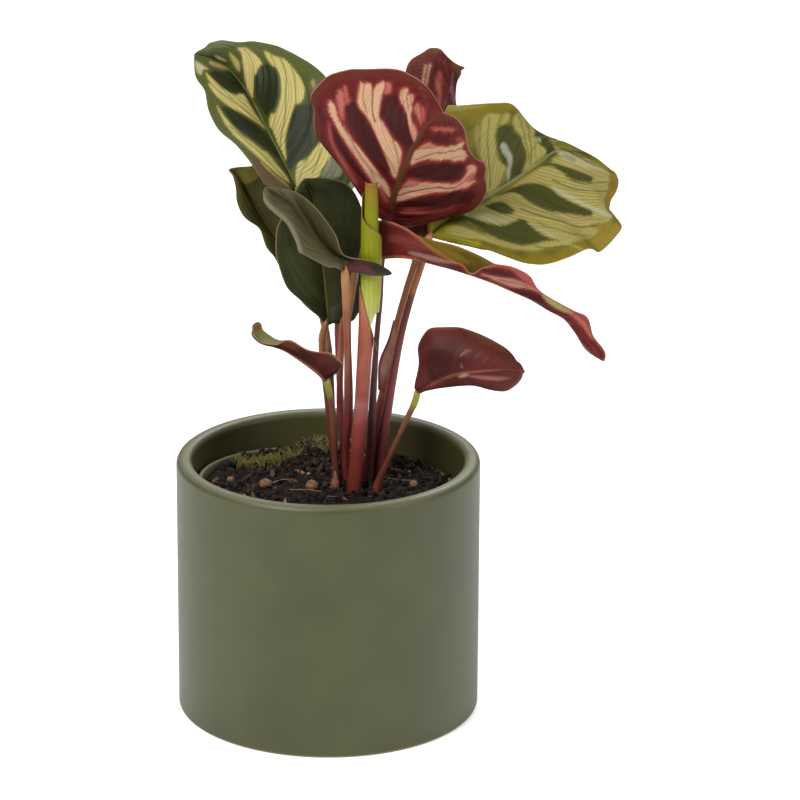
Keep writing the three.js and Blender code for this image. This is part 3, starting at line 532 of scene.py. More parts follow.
            ("#b08a80", 0.6, "408,251 420,252 455,262 448,263.5 436,261.5 412,255"),
            ("#6a1f1e", 0.7, "577,322 598,352 602,360 598,358 583,338 578,329"),
            ("#96915f", 0.8, "543,294 573,312 567,313 559,310 551,305.5 545,300"),
            ("#a0504b", 0.7, "510,267 520,270.5 528,275 533,281 538,290 532,287 516,275"),
            ("#7a3a38", 0.4, "384,236 396,234 412,238 426,245 430,250 418,250 404,246 390,242"),
            ("#4a1512", 0.6, "381,222 388,224 390,236 386,252 380,253"),
            ("#6f5a1a", 0.75, "420,233 430,237 445,246 462,256 470,264 458,262 440,256 428,248 420,240"),
        ],
        "outline": [
            "495,264 510,266 520,270 527,273.5 532,278 540,291 567,307 577,312 584,314.5 588,318 590,323 "
            "593,335 598,342 603,348 606,354 606.5,358 601,364.5",
            "465,271.5 495,283 515,292.5 525,298 555,313 565,319.5 570,324 575,331 580,340 585,347 592,354 "
            "598,361",
        ],
    },
    "folded": {
        "washes": [
            ("#56523a", 0.6, "262,186 275,185 289,189 296,199 303,212 312,227 320,239 331,251 342,258 "
                              "350,263 340,269 322,266 301,254 290,229 283,218 267,206"),
            # Painted shade: the dark inner face of the far half, in shadow.
            ("#35301c", 0.7, "300,196 308,206 318,214 330,226 338,246 336,252 326,240 316,226 306,212"),
            # A pale strip along the margin: the upper face's grey-green with painted sheen on it.
            ("#85806a", 0.5, "263,187 263,199 270,209 285,222 292,234 299,253 303,252 296,232 288,219 "
                             "273,206 266,197"),
            ("#4f2631", 0.8, "338,268 346,263 356,262 364,264 372,269 378,275.5 372,276 362,273 352,271 "
                             "344,271"),
            ("#221d0e", 0.8, "372,262 380,260 394,270 396,276 384,275 374,268"),
        ],
        "outline": [
            "265,186.5 263.5,192 263.5,200 266,205 270,209.5 285,222 289,228 293,236 297,245 298.5,252 "
            "303,254 323,265 330,267.5 336,267",
        ],
    },
    "dark_oval": {
        "washes": [
            ("#5a2a1c", 0.6, "303,178 310,174 328,175 345,184 340,183 326,178 312,177 305,181"),
            ("#3c3d20", 0.3, "284,250 300,252 312,272 318,296 306,296 292,278"),
            ("#2f3018", 0.4, "326,262 340,258 346,282 340,306 330,304 328,288"),
        ],
        "outline": [
            "281,219 278,225 276,233 275.5,250 277,259 280,270 285,284 290,291 305,304 313,312 318,316 "
            "324,324 328,326 333,323 340,323 350,322 356,319",
        ],
    },
    "far_left": {
        "washes": [
            ("#5f5a1c", 0.7, "236,170 248,167 258,170 258,178 250,183 242,184 238,177"),
        ],
        "outline": [
            "252,166.5 240,167 229,169 232,174 234.5,182 236,190 236.5,200 239,208 242,214 247,220 258,226 "
            "260,229 263.5,240 267,249 277,259",
        ],
    },
    "low_left": {
        "washes": [
            ("#74774c", 0.7, "256,334 262,334.5 276,341 272,343 262,341 257,338"),
            ("#8a3f38", 0.6, "251.5,328 253,324 258,322 261,323 262,327 259,331 254,332"),
            ("#5c3020", 0.6, "280,341 288,340.5 297,344 300,349 292,349 284,346"),
        ],
        "outline": [
            "251.5,328 253,324 258,322 260.5,322.5 262,326 263,330 274,338 280,340.5 288,340 293,341 "
            "304,348 310,350.5 318,352 332,352.5 339,360 344,364 341,366.5 339,370 335,375",
            "253,334 261,342.5 267,344 275,344.5 281,346 287,349.5 308,364 313,368 318,373.5 321,379",
        ],
    },
    "low_right": {
        "blots": [
            "430,350 440,349 450,352 453,362 449,373 438,378 430,380 427,368 427,358",
        ],
        "washes": [
            ("#b89878", 0.7, "458,376.5 464,373 469,373 468,375.5 462,377.5"),
            ("#a0605e", 0.6, "470,374.5 509,377 503,380 490,380.5 470,377"),
            ("#8d6a5c", 0.8, "460,357 461,354 464,351.5 468,349.5 470,350"),
            ("#8d6a5c", 0.7, "460.5,367 461.5,363 463,368"),
            ("#4d2a14", 0.6, "470,331 482,335.5 496,343 508,351 513,357 506,356 470,337"),
        ],
        "outline": [
            "430,327.5 458,327 466,329 480,334 495,341.5 507,349 514,356.5 515,360 521,364 523.5,371 "
            "520,381 510,389.5 503,391.5 488,389.5 470,385.5 430,389.5 421,393 417,388 415.5,384 419,365 "
            "418.5,355 417.5,348 421,339 427,330 430,327.5",
        ],
    },
}

# ---- colours ----
# Painted shade: the colour of the pot's inner wall, standing in for the shade inside it.
POT_INSIDE_SHADE = "#3f3c20"
YOUNG_BLADE = ((0.0, "#a8a77c"), (0.3, "#969840"), (0.5, "#6b7105"), (0.82, "#6f720a"), (0.95, "#775f16"),
               (1.0, "#6a4a16"))
CRUMB_TINTS = ((0.0, "#0f0b09"), (0.5, "#231914"), (0.78, "#3d2b1f"), (0.93, "#674a33"), (1.0, "#9c8062"))
RED_SHEATH = ((0.0, "#4c1814"), (0.28, "#742a1e"), (0.4, "#7d2f24"), (0.47, "#92504a"), (0.51, "#843626"),
              (0.8, "#8c4630"), (0.95, "#9a6040"), (1.0, "#a48250"))
BROWN_STEM = ((0.0, "#3a1510"), (0.4, "#5c231a"), (0.8, "#5a2c1c"), (0.86, "#7d4c28"), (1.0, "#7a5228"))
DARK_STEM = ((0.0, "#2e100d"), (0.5, "#4c1a15"), (0.88, "#5a2a1c"), (1.0, "#6a4020"))
TAN_STEM = ((0.0, "#3a1511"), (0.4, "#742a28"), (0.62, "#8a4a34"), (0.82, "#7c4426"), (0.86, "#8f5c2e"),
            (1.0, "#96683a"))
RED_STEM = ((0.0, "#47161a"), (0.45, "#742a28"), (0.72, "#62271c"), (0.76, "#6a3020"), (0.79, "#9c5c30"),
            (1.0, "#a06a38"))
COPPER_STEM = ((0.0, "#47161a"), (0.35, "#7c2f2c"), (0.5, "#a05a42"), (0.7, "#a8663a"), (1.0, "#9a5f30"))
LIME_STEM = ((0.0, "#6d3a2a"), (0.3, "#5c281c"), (0.8, "#6d4028"), (0.86, "#827a2e"), (1.0, "#8c8834"))

# The colours of one face of a blade, under the names of the leaf colour group's inputs.
FACE_COLOURS = (
    "Ground", "Dark", "Cream", "Blush", "Halo Colour", "Vein Colour", "Margin Colour", "Rib Colour",
    "Rim Colour",
)


def face_colours(text):
    """Colours in the order of FACE_COLOURS."""
    return dict(zip(FACE_COLOURS, text.split()))


GREEN_BACK = face_colours("#5a2a2a #471d1f #a3705c #9a4f4a #7a3a38 #4c2320 #6a3a30 #6b4a35 #7c5a44")
MAROON_FACE = face_colours("#3d4727 #2c341f #aaa263 #8f8a50 #5d5f38 #5c5f2e #59622f #6f7a42 #7b7c4d")
DARK_BACK = face_colours("#4a2527 #3a1a1c #7a4a44 #7a3a38 #5a3030 #301618 #543030 #5a4030 #6d4a3a")
LOOKS = {
    "back_left": {
        "upper": face_colours("#37401a #1a1f0e #aea163 #a07f4c #53501f #4c4c1e #474d25 #5a6130 #5c5e3a"),
        "under": GREEN_BACK,
        "margin": 8.0, "rib": (1.1, 0.35), "pleats": (1.0, 0.25), "stem": TAN_STEM, "rows": 290, "columns": 150,
    },
    "centre": {
        "upper": MAROON_FACE,
        "under": face_colours("#521413 #310c0b #b48f70 #9d4644 #86302f #541a14 #4f1f14 #483019 #99685a"),
        "margin": 4.5, "line_strength": 0.2, "rib": (1.7, 0.5), "pleats": (1.0, 0.45), "stem": DARK_STEM,
        "rows": 290, "columns": 160,
    },
    "back_centre": {
        "upper": MAROON_FACE,
        "under": face_colours("#56201b #33100d #b08f70 #8a3833 #6d2f2a #4b1a1c #5d2f22 #5d3a2c #8a5a46"),
        "margin": 3.0, "rib": (1.3, 0.4), "pleats": (2.0, 0.3), "stem": COPPER_STEM, "fuller": 0.25,
        "rows": 200, "columns": 80,
    },
    "right": {
        "upper": face_colours("#685e18 #2d3214 #8f864a #8f7c4c #6e662a #45451a #6d5f12 #757a50 #8d8544"),
        "under": GREEN_BACK,
        "margin": 4.0, "rib": (1.3, 0.4), "pleats": (1.0, 0.4), "stem": RED_STEM, "fuller": 0.25,
        "rows": 290, "columns": 160,
    },
    "drooping": {
        "upper": face_colours("#5a4510 #40310d #97995a #8a7a44 #7a6626 #5c4f1e #66501c #8a5a2a #93703f"),
        "under": face_colours("#5c1c1b #3d1211 #bb8d78 #a8554f #80352f #521d19 #7c3b30 #7d4c2c #93583a"),
        "margin": 1.6, "rib": (1.0, 0.4), "pleats": (1.0, 0.15), "stem": TAN_STEM, "rows": 320, "columns": 80,
    },
    "dark_oval": {
        "upper": face_colours("#272a12 #181b0b #3d401e #3c3016 #2f2f15 #14150a #2c2b12 #4d4c22 #6d6a4a"),
        "under": DARK_BACK,
        "margin": 2.0, "rib": (0.9, 0.3), "pleats": (1.0, 0.12), "stem": BROWN_STEM, "rows": 180, "columns": 80,
    },
    "folded": {
        "upper": face_colours("#2a2610 #19160a #5c5836 #4f4428 #454026 #1a170c #39351f #4c472a #5f5b42"),
        "under": face_colours("#5f2f3a #472029 #8a5a5a #7a3f4a #6d3f44 #3a1c20 #6a3f42 #6d4f40 #8d7062"),
        "margin": 3.0, "rib": (0.8, 0.3), "pleats": (1.0, 0.12), "stem": TAN_STEM, "rows": 220, "columns": 80,
    },
    "far_left": {
        "upper": face_colours("#37330f #24210b #4a4720 #4c421f #423d20 #26230f #3d3917 #4c482a #4f4b2c"),
        "under": DARK_BACK,
        "margin": 2.0, "rib": (0.8, 0.3), "pleats": (1.0, 0.12), "stem": BROWN_STEM, "rows": 180, "columns": 80,
    },
    "low_left": {
        "upper": face_colours("#76784a #5f6238 #8f9160 #8a7a54 #7e8054 #565a34 #7e7a50 #8a8258 #8a6a50"),
        "under": face_colours("#48201a #31130f #7d5046 #7a3a34 #633630 #3a1a16 #663a30 #7a5040 #86684c"),
        "margin": 1.2, "rib": (0.9, 0.35), "pleats": (1.0, 0.1), "stem": LIME_STEM, "rows": 150, "columns": 60,
    },
    "low_right": {
        "upper": face_colours("#4c522c #3c4224 #6c7244 #6c6040 #565c34 #353a20 #5c6232 #6c7244 #7c7c4a"),
        "under": face_colours("#4c1e1a #300e0c #7d4a44 #7a3c38 #663430 #4a1c1a #5d2f22 #6a3a2c #6c4a30"),
        "margin": 1.4, "rib": (1.1, 0.35), "pleats": (2.0, 0.1), "stem": LIME_STEM, "rows": 160, "columns": 80,
    },
}


# ---- curves and surfaces ----
def smooth(low, high, value):
    share = np.clip((value - low) / (high - low), 0, 1)
    return share * share * (3 - 2 * share)


def unit(vectors):
    return vectors / np.maximum(np.linalg.norm(vectors, axis=-1, keepdims=True), 1e-9)


def rail(points, share):
    """Point at a share from 0 to 1 of a uniform Catmull-Rom curve through the points."""
    points = np.asarray(points, float)
    count = len(points)
    ends = np.vstack([2 * points[0] - points[1], points, 2 * points[-1] - points[-2]])
    place = np.asarray(share, float) * (count - 1)
    low = np.clip(np.floor(place).astype(int), 0, count - 2)
    w = (place - low)[..., None]
    a, b, c, d = (ends[low + k] for k in range(4))
    slope_b, slope_c = (c - a) / 2, (d - b) / 2
    cubic = 2 * b - 2 * c + slope_b + slope_c
    square = 3 * c - 3 * b - 2 * slope_b - slope_c
    return cubic * w**3 + square * w**2 + slope_b * w + b


def along_list(values, share):
    return np.interp(share, np.linspace(0, 1, len(values)), values)


def blade_rails(leaf):
    """Both margins, the midrib and the swollen middle of both halves, from the base to the tip."""
    stations = np.array(leaf["stations"], float)

    def edge(point, station, half):
        across = unit(station[2] - station[0]) * half
        return np.array([point - across, point, point + across])

    first = edge(np.array(leaf["base"], float), stations[0], BASE_HALF)
    last = edge(np.array(leaf["tip"], float), stations[-1], TIP_HALF)
    rows = np.concatenate([[first], stations, [last]])
    left, midrib, right = rows[:, 0], rows[:, 1], rows[:, 2]
    along = np.vstack([midrib[1] - midrib[0], midrib[2:] - midrib[:-2], midrib[-1] - midrib[-2]])
    normal = unit(np.cross(right - left, along))
    normal[0] = normal[-1] = 0
    return {
        "left": left,
        "left_middle": (left + midrib) / 2 + normal * leaf["swell"][0],
        "midrib": midrib,
        "right_middle": (right + midrib) / 2 + normal * leaf["swell"][1],
        "right": right,
    }


def blade_points(rails, station, across):
    """Points of the blade at stations counted from the base, and across from -1 (left margin) to 1 (right)."""
    share = station / (len(rails["midrib"]) - 1)
    t = np.abs(across)[..., None]
    is_left = (across < 0)[..., None]
    midrib = rail(rails["midrib"], share)
    middle = np.where(is_left, rail(rails["left_middle"], share), rail(rails["right_middle"], share))
    margin = np.where(is_left, rail(rails["left"], share), rail(rails["right"], share))
    return midrib * (1 - t) * (1 - 2 * t) + middle * 4 * t * (1 - t) + margin * t * (2 * t - 1)


# ---- traced lines ----
def from_camera(points_mm):
    """How far in front of the camera points lie, and how far above its axis, in mm."""
    offset = np.asarray(points_mm, float) - np.array(CAMERA_AT) / MM
    cosine, sine = math.cos(CAMERA_PITCH), math.sin(CAMERA_PITCH)
    return offset[..., 1] * cosine - offset[..., 2] * sine, offset[..., 1] * sine + offset[..., 2] * cosine


def seen_at(points_mm):
    """Column and row at which the camera sees points in mm."""
    depth, rise = from_camera(points_mm)
    column = PLANT_AXIS_COLUMN + FOCAL_PIXELS * np.asarray(points_mm)[..., 0] / depth
    return np.stack([column, PICTURE_PIXELS / 2 - FOCAL_PIXELS * rise / depth], -1)


def traced(text, closed=True):
    """Smooth line through column,row pairs."""
    line = np.array([[float(value) for value in pair.split(",")] for pair in text.split()])
    if closed:
        line = np.vstack([line[-2:], line, line[:3]])
    gaps = len(line) - 1
    first, last = (2, gaps - 2) if closed else (0, gaps)
    return rail(line, np.linspace(first, last, (last - first) * 4 + 1) / gaps)


def nearest_on(line, spots):
    """Distance in pixels from each spot to a line, the nearest place on it, and how far along it that is."""
    nearest = np.full(len(spots), 1e4)
    place = np.zeros((len(spots), 2))
    along = np.zeros(len(spots))
    for number, (start, end) in enumerate(zip(line, line[1:])):
        step = end - start
        share = np.clip((spots - start) @ step / max(step @ step, 1e-9), 0, 1)
        reached = start + share[:, None] * step
        distance = np.hypot(*(spots - reached).T)
        closer = distance < nearest
        nearest = np.where(closer, distance, nearest)
        place = np.where(closer[:, None], reached, place)
        along = np.where(closer, (number + share) / (len(line) - 1), along)
    return nearest, place, along


def depth_inside(line, spots):
    """Distance in pixels to a closed line, positive inside and negative outside."""
    inside = np.zeros(len(spots), bool)
    x, y = spots.T
    for (x0, y0), (x1, y1) in zip(line, line[1:]):
        if y0 != y1:
            inside ^= ((y0 > y) != (y1 > y)) & (x < x0 + (x1 - x0) * (y - y0) / (y1 - y0))
    distance = nearest_on(line, spots)[0]
    return np.where(inside, distance, -distance)


def stencil(text, spots, low, high, closed=True, ragged=0.0):
    """From 0 to 1 between two depths in pixels inside a traced outline, or distances from a traced line."""
    line = traced(text, closed)
    mask = np.zeros(len(spots))
    reach = max(abs(low), abs(high)) + 1
    near = ((spots > line.min(0) - reach) & (spots < line.max(0) + reach)).all(1)
    if near.any():
        measure = depth_inside if closed else (lambda path, at: -nearest_on(path, at)[0])
        fray = ragged if np.isscalar(ragged) else ragged[near]
        mask[near] = smooth(low, high, measure(line, spots[near]) + fray)
    return mask


def paint_markings(name, spots, ragged):
    """Band, halo, vein, tone, blot and wash of a blade's points, the washes holding painted sheen, highlights
    and shade as well as tints; ragged frays the outlines, in pixels.
    """
    marks = MARKINGS.get(name, {})
    band, halo, vein, blot, tone, share = (np.zeros(len(spots)) for _ in range(6))
    wash = np.zeros((len(spots), 3))
    tone += 1
    for cream, strength, text in marks.get("bands", ()):
        core = stencil(text, spots, -1.1, 1.3, ragged=ragged)
        tone = np.where(core > 0.05, cream, tone)
        band = np.maximum(band, core * strength)
        halo = np.maximum(halo, stencil(text, spots, -4.5, 0.8, ragged=ragged) * strength)
    for text in marks.get("blots", ()):
        blot = np.maximum(blot, stencil(text, spots, -1.2, 1.8, ragged=1.6 * ragged))
    for strength, text in marks.get("veins", ()):
        vein = np.maximum(vein, stencil(text, spots, -1.15, -0.25, closed=False) * strength)
    for colour, strength, text in marks.get("washes", ()):
        cover = (stencil(text, spots, -1.2, 2.4, ragged=ragged) * strength)[:, None]
        wash = wash * (1 - cover) + np.array(linear(colour)[:3]) * cover
        share = share + (1 - share) * cover[:, 0]
    wash = wash / np.maximum(share, 1e-6)[:, None]
    return band * (1 - blot), halo, vein, tone, blot, share, wash


def draw_to_outline(name, points):
    """Shift the margins, as the camera sees them, onto the traced outline, less and less towards the midrib."""
    lines = [traced(text, closed=False) for text in MARKINGS.get(name, {}).get("outline", ())]
    rows, columns = points.shape[:2]
    middle = columns // 2
    moved = points.copy()
    for margin, half in ((0, slice(0, middle + 1)), (columns - 1, slice(middle, columns))):
        spots = seen_at(points[:, margin])
        shift, nearest = np.zeros((rows, 2)), np.full(rows, OUTLINE_REACH)
        for line in lines:
            distance, place, along = nearest_on(line, spots)
            closer = (distance < nearest) & (along > 0) & (along < 1)
            shift = np.where(closer[:, None], place - spots, shift)
            nearest = np.where(closer, distance, nearest)
        kernel = np.exp(-0.5 * (np.arange(-5, 6) / 2.2) ** 2)
        shift = np.stack([np.convolve(shift[:, k], kernel / kernel.sum(), "same") for k in (0, 1)], -1)
        to_mm = from_camera(points[:, margin])[0] / FOCAL_PIXELS
        move = np.stack([shift[:, 0] * to_mm, 0 * to_mm, -shift[:, 1] * to_mm / math.cos(CAMERA_PITCH)], -1)
        weight = np.abs(np.linspace(-1, 1, columns)[half]) ** 2.5
        moved[:, half] += move[:, None] * weight[None, :, None]
    return moved


# ---- mesh helpers ----
def new_piece(name, points_mm, faces, smooth_faces=True):
    mesh = bpy.data.meshes.new(name)
    loops = faces if isinstance(faces, list) else faces.tolist()
    mesh.from_pydata((np.asarray(points_mm) * MM).tolist(), [], loops)
    mesh.polygons.foreach_set("use_smooth", [smooth_faces] * len(mesh.polygons))
    mesh.validate()
    mesh.update()
    piece = bpy.data.objects.new(name, mesh)
    bpy.context.scene.collection.objects.link(piece)
    return piece


def set_vectors(piece, name, vectors):
    attribute = piece.data.attributes.new(name, "FLOAT_VECTOR", "POINT")
    attribute.data.foreach_set("vector", np.asarray(vectors, np.float32).ravel())


def set_values(piece, name, values):
    attribute = piece.data.attributes.new(name, "FLOAT", "POINT")
    attribute.data.foreach_set("value", np.asarray(values, np.float32).ravel())


def grid_faces(rows, columns, first=0, closed=False, flip=False):
    """Quads of a grid of points, in rows. A closed grid joins its last column to its first."""
    steps = columns if closed else columns - 1
    i, j = np.meshgrid(np.arange(rows - 1), np.arange(steps), indexing="ij")
    k = (j + 1) % columns
    quads = np.stack([i * columns + j, i * columns + k, (i + 1) * columns + k, (i + 1) * columns + j], -1)
    quads = quads.reshape(-1, 4) + first
    return quads[:, ::-1] if flip else quads


def sheet_faces(rows, columns):
    """Faces of a closed thin sheet: upper grid, lower grid, and the rim between them."""
    count = rows * columns
    rim = [(0, j) for j in range(columns)] + [(i, columns - 1) for i in range(1, rows)]
    rim += [(rows - 1, j) for j in range(columns - 2, -1, -1)] + [(i, 0) for i in range(rows - 2, 0, -1)]
    loop = np.array([i * columns + j for i, j in rim])
    following = np.roll(loop, -1)
    band = np.stack([following, loop, loop + count, following + count], -1)
    return np.vstack([grid_faces(rows, columns), grid_faces(rows, columns, count, flip=True), band])


def closed_rings(rings, sides, flip=False):
    """Faces of rings of points joined into a tube, with both of its ends closed."""
    faces = grid_faces(rings, sides, closed=True, flip=flip).tolist()
    ends = [list(range(sides - 1, -1, -1)), list(range((rings - 1) * sides, rings * sides))]
    return faces + [end[::-1] if flip else end for end in ends]


def thin_sheet(name, upper, lower):
    """A closed sheet between two grids of points."""
    rows, columns = upper.shape[:2]
    points = np.vstack([upper.reshape(-1, 3), lower.reshape(-1, 3)])
    return new_piece(name, points, sheet_faces(rows, columns))


def grid_normals(points):
    across = np.gradient(points, axis=1)
    along = np.gradient(points, axis=0)
    return unit(np.cross(across, along))


def finish_piece(piece, material, slot, *nodes):
    piece.data.materials.append(material)
    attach(piece, "root")
    if nodes:
        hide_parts(*nodes)
    return piece


# ---- node helpers ----
def linear(hex_colour):
    values = [int(hex_colour[k:k + 2], 16) / 255 for k in (1, 3, 5)]
    return tuple(v / 12.92 if v <= 0.04045 else ((v + 0.055) / 1.055) ** 2.4 for v in values) + (1.0,)


def add(tree, kind, inputs=(), **settings):
    """A node with its settings, whose inputs are given as (name or number, value or socket)."""
    node = tree.nodes.new(kind)
    for key, value in settings.items():
        setattr(node, key, value)
    for key, value in inputs:
        if isinstance(value, bpy.types.NodeSocket):
            tree.links.new(value, node.inputs[key])
        else:
            node.inputs[key].default_value = value
    return node


def math_node(tree, operation, first, second=0.0, third=0.0):
    node = add(tree, "ShaderNodeMath", [(0, first), (1, second), (2, third)], operation=operation)
    return node.outputs[0]


def span(tree, value, low, high, to_low=0.0, to_high=1.0):
    node = add(tree, "ShaderNodeMapRange", [
        ("Value", value), ("From Min", low), ("From Max", high), ("To Min", to_low), ("To Max", to_high),
    ], interpolation_type="SMOOTHSTEP")
    return node.outputs["Result"]


def blend_colour(tree, share, first, second, kind="MIX"):
    node = add(tree, "ShaderNodeMix", data_type="RGBA", blend_type=kind)
    for socket, value in ((node.inputs[0], share), (node.inputs[6], first), (node.inputs[7], second)):
        if isinstance(value, bpy.types.NodeSocket):
            tree.links.new(value, socket)
        else:
            socket.default_value = value
    return node.outputs[2]


def new_group(name, inputs, outputs):
    group = bpy.data.node_groups.new(name, "ShaderNodeTree")
    for label, kind, default in inputs:
        socket = group.interface.new_socket(label, in_out="INPUT", socket_type=kind)
        socket.default_value = default
    for label, kind in outputs:
        group.interface.new_socket(label, in_out="OUTPUT", socket_type=kind)
    entry = group.nodes.new("NodeGroupInput")
    leave = group.nodes.new("NodeGroupOutput")
    return group, entry.outputs, leave.inputs


def colour_ramp(tree, share, stops):
    """Colour at a share from 0 to 1 along stops of (share, colour)."""
    ramp = add(tree, "ShaderNodeValToRGB", [(0, share)])
    band = ramp.color_ramp
    while len(band.elements) < len(stops):
        band.elements.new(0.5)
    for element, (place, colour) in zip(band.elements, stops):
        element.position = place
        element.color = linear(colour)
    return ramp.outputs["Color"]


def shaded(tree, colour, shade):
    """A colour made darker or lighter by a value around 1."""
    grey = add(tree, "ShaderNodeCombineXYZ", [(0, shade), (1, shade), (2, shade)]).outputs[0]
    return blend_colour(tree, 1.0, colour, grey, "MULTIPLY")


def place_group(tree, group, inputs):
    node = tree.nodes.new("ShaderNodeGroup")
    node.node_tree = group
    for key, value in inputs.items():
        if isinstance(value, bpy.types.NodeSocket):
            tree.links.new(value, node.inputs[key])
        else:
            node.inputs[key].default_value = value
    return node.outputs


VALUE, COLOUR = "NodeSocketFloat", "NodeSocketColor"
WHITE = (1.0, 1.0, 1.0, 1.0)


def make_leaf_colours():
    """Colour of one face of a blade: bands with halos and veins, blots, margin, midrib and rim."""
    inputs = [(name, VALUE, 0.0) for name in ("Band", "Halo", "Vein", "Tone", "Blot", "Edge mm", "Rib Share")]
    inputs += [("Margin Width", VALUE, 4.0), ("Side Lines", VALUE, 0.0), ("Cross Lines", VALUE, 0.0),
               ("Mottle", VALUE, 0.5), ("Line Strength", VALUE, 0.4)]
    inputs += [(name, COLOUR, WHITE) for name in FACE_COLOURS]
    group, a, out = new_group("leaf_colours", inputs, [("Color", COLOUR)])
    blotch = span(group, a["Mottle"], 0.38, 0.68, 0.0, 0.75)
    ground = blend_colour(group, blotch, a["Ground"], a["Dark"])
    edge = math_node(group, "ADD", a["Edge mm"], math_node(group, "MULTIPLY_ADD", a["Mottle"], 4.0, -2.0))
    margin = span(group, math_node(group, "DIVIDE", edge, a["Margin Width"]), 0.5, 1.35, 1.0, 0.0)
    ground = blend_colour(group, margin, ground, a["Margin Colour"])
    ground = blend_colour(group, math_node(group, "MULTIPLY", a["Side Lines"], 0.22), ground, a["Halo Colour"])
    ground = blend_colour(group, math_node(group, "MULTIPLY", a["Halo"], 0.8), ground, a["Halo Colour"])
    ground = blend_colour(group, math_node(group, "MULTIPLY", a["Blot"], 0.85), ground, a["Dark"])
    pale = blend_colour(group, a["Tone"], a["Blush"], a["Cream"])
    pale = blend_colour(group, math_node(group, "MULTIPLY", a["Cross Lines"], 0.1), pale, a["Halo Colour"])
    lines = math_node(group, "MULTIPLY", a["Side Lines"], a["Line Strength"])
    pale = blend_colour(group, lines, pale, a["Vein Colour"])
    banded = blend_colour(group, a["Band"], ground, pale)
    veined = blend_colour(group, math_node(group, "MULTIPLY", a["Vein"], 0.95), banded, a["Vein Colour"])
    ribbed = blend_colour(group, a["Rib Share"], veined, a["Rib Colour"])
    rim = span(group, a["Edge mm"], 0.25, 0.6, 0.9, 0.0)
    group.links.new(blend_colour(group, rim, ribbed, a["Rim Colour"]), out["Color"])
    return group


def make_fine_lines():
    """Thin side veins and the cross veins between them, from the place on the blade."""
    inputs = [(name, VALUE, 0.0) for name in ("Side Place", "Across", "Side Veins", "Cross Veins")]
    group, a, out = new_group("fine_lines", inputs, [("Side", VALUE), ("Cross", VALUE)])
    for label, place, count in (
        ("Side", a["Side Place"], a["Side Veins"]),
        ("Cross", a["Across"], a["Cross Veins"]),
    ):
        turns = math_node(group, "MULTIPLY", math_node(group, "MULTIPLY", place, count), 2 * math.pi)
        wave = math_node(group, "SINE", turns)
        group.links.new(span(group, wave, 0.35, 1.0), out[label])
    return group


def make_mottle():
    """Slow and fine unevenness over a surface, both from 0 to 1."""
    inputs = [("Patch Size", VALUE, 0.01), ("Grain Size", VALUE, 0.001)]
    group, a, out = new_group("mottle", inputs, [("Patches", VALUE), ("Grain", VALUE)])
    place = group.nodes.new("ShaderNodeTexCoord").outputs["Object"]
    for label, size, detail in (("Patches", a["Patch Size"], 3.0), ("Grain", a["Grain Size"], 2.0)):
        noise = add(group, "ShaderNodeTexNoise", [
            ("Vector", place), ("Scale", math_node(group, "DIVIDE", 1.0, size)), ("Detail", detail),
        ])
        group.links.new(noise.outputs["Fac"], out[label])
    return group


LEAF_COLOURS = make_leaf_colours()
FINE_LINES = make_fine_lines()
MOTTLE = make_mottle()


def new_material(name):
    material = bpy.data.materials.new(name)
    material.use_nodes = True
    tree = material.node_tree
    shader = tree.nodes["Principled BSDF"]
    return material, tree, shader


def bump(tree, shader, height, strength, distance):
    node = add(tree, "ShaderNodeBump", [("Height", height), ("Strength", strength), ("Distance", distance)])
    tree.links.new(node.outputs["Normal"], shader.inputs["Normal"])


def attribute(tree, name):
    node = add(tree, "ShaderNodeAttribute", attribute_name=name)
    return add(tree, "ShaderNodeSeparateXYZ", [(0, node.outputs["Vector"])]).outputs


# ---- blades ----
def blade_material(name, look):
    material, tree, shader = new_material(f"blade_{name}")
    bands, tones, zones, place = (attribute(tree, label) for label in ("bands", "tones", "zones", "place"))
    lines = place_group(tree, FINE_LINES, {
        "Side Place": zones["Y"], "Across": place["Y"], "Side Veins": SIDE_VEINS, "Cross Veins": CROSS_VEINS,
    })
    uneven = place_group(tree, MOTTLE, {"Patch Size": 0.012, "Grain Size": 0.0011})
    faces = []
    for face in ("upper", "under"):
        faces.append(place_group(tree, LEAF_COLOURS, {
            "Band": bands["X"], "Halo": bands["Y"], "Vein": bands["Z"], "Tone": tones["X"], "Blot": tones["Y"],
            "Edge mm": zones["X"], "Rib Share": place["Z"], "Margin Width": look["margin"],
            "Side Lines": lines["Side"], "Cross Lines": lines["Cross"], "Mottle": uneven["Patches"],
            "Line Strength": look.get("line_strength", 0.4),
            **{part: linear(colour) for part, colour in look[face].items()},
        })["Color"])
    both = blend_colour(tree, zones["Z"], faces[0], faces[1])
    # Washes: tints of the leaf, and painted sheen, highlights and shade.
    wash = add(tree, "ShaderNodeAttribute", attribute_name="wash").outputs["Color"]
    both = blend_colour(tree, tones["Z"], both, wash)
    shade = math_node(tree, "MULTIPLY_ADD", uneven["Grain"], 0.24, 0.88)
    shade = math_node(tree, "MULTIPLY_ADD", lines["Side"], -0.06, shade)
    tree.links.new(shaded(tree, both, shade), shader.inputs["Base Color"])
    gloss = math_node(tree, "MULTIPLY_ADD", uneven["Patches"], 0.2, 0.34)
    tree.links.new(gloss, shader.inputs["Roughness"])
    height = math_node(tree, "ADD", math_node(tree, "MULTIPLY", lines["Side"], 0.7),
                       math_node(tree, "MULTIPLY", lines["Cross"], 0.1))
    height = math_node(tree, "ADD", height, math_node(tree, "MULTIPLY", uneven["Grain"], 0.5))
    bump(tree, shader, height, 0.4, 0.00014)
    shader.inputs["Specular IOR Level"].default_value = 0.1
    return material


def fibres(side_vein, per_station):
    """Uneven streaks along the side veins, about -1 to 1."""
    turn = 2 * math.pi * per_station * side_vein
    return (np.sin(turn) + np.sin(0.63 * turn + 1.3) + np.sin(1.37 * turn + 2.9)) / 2


def twice(values):
    """Values of a grid, once for each face of a thin sheet."""
    return np.tile(values.ravel(), 2)


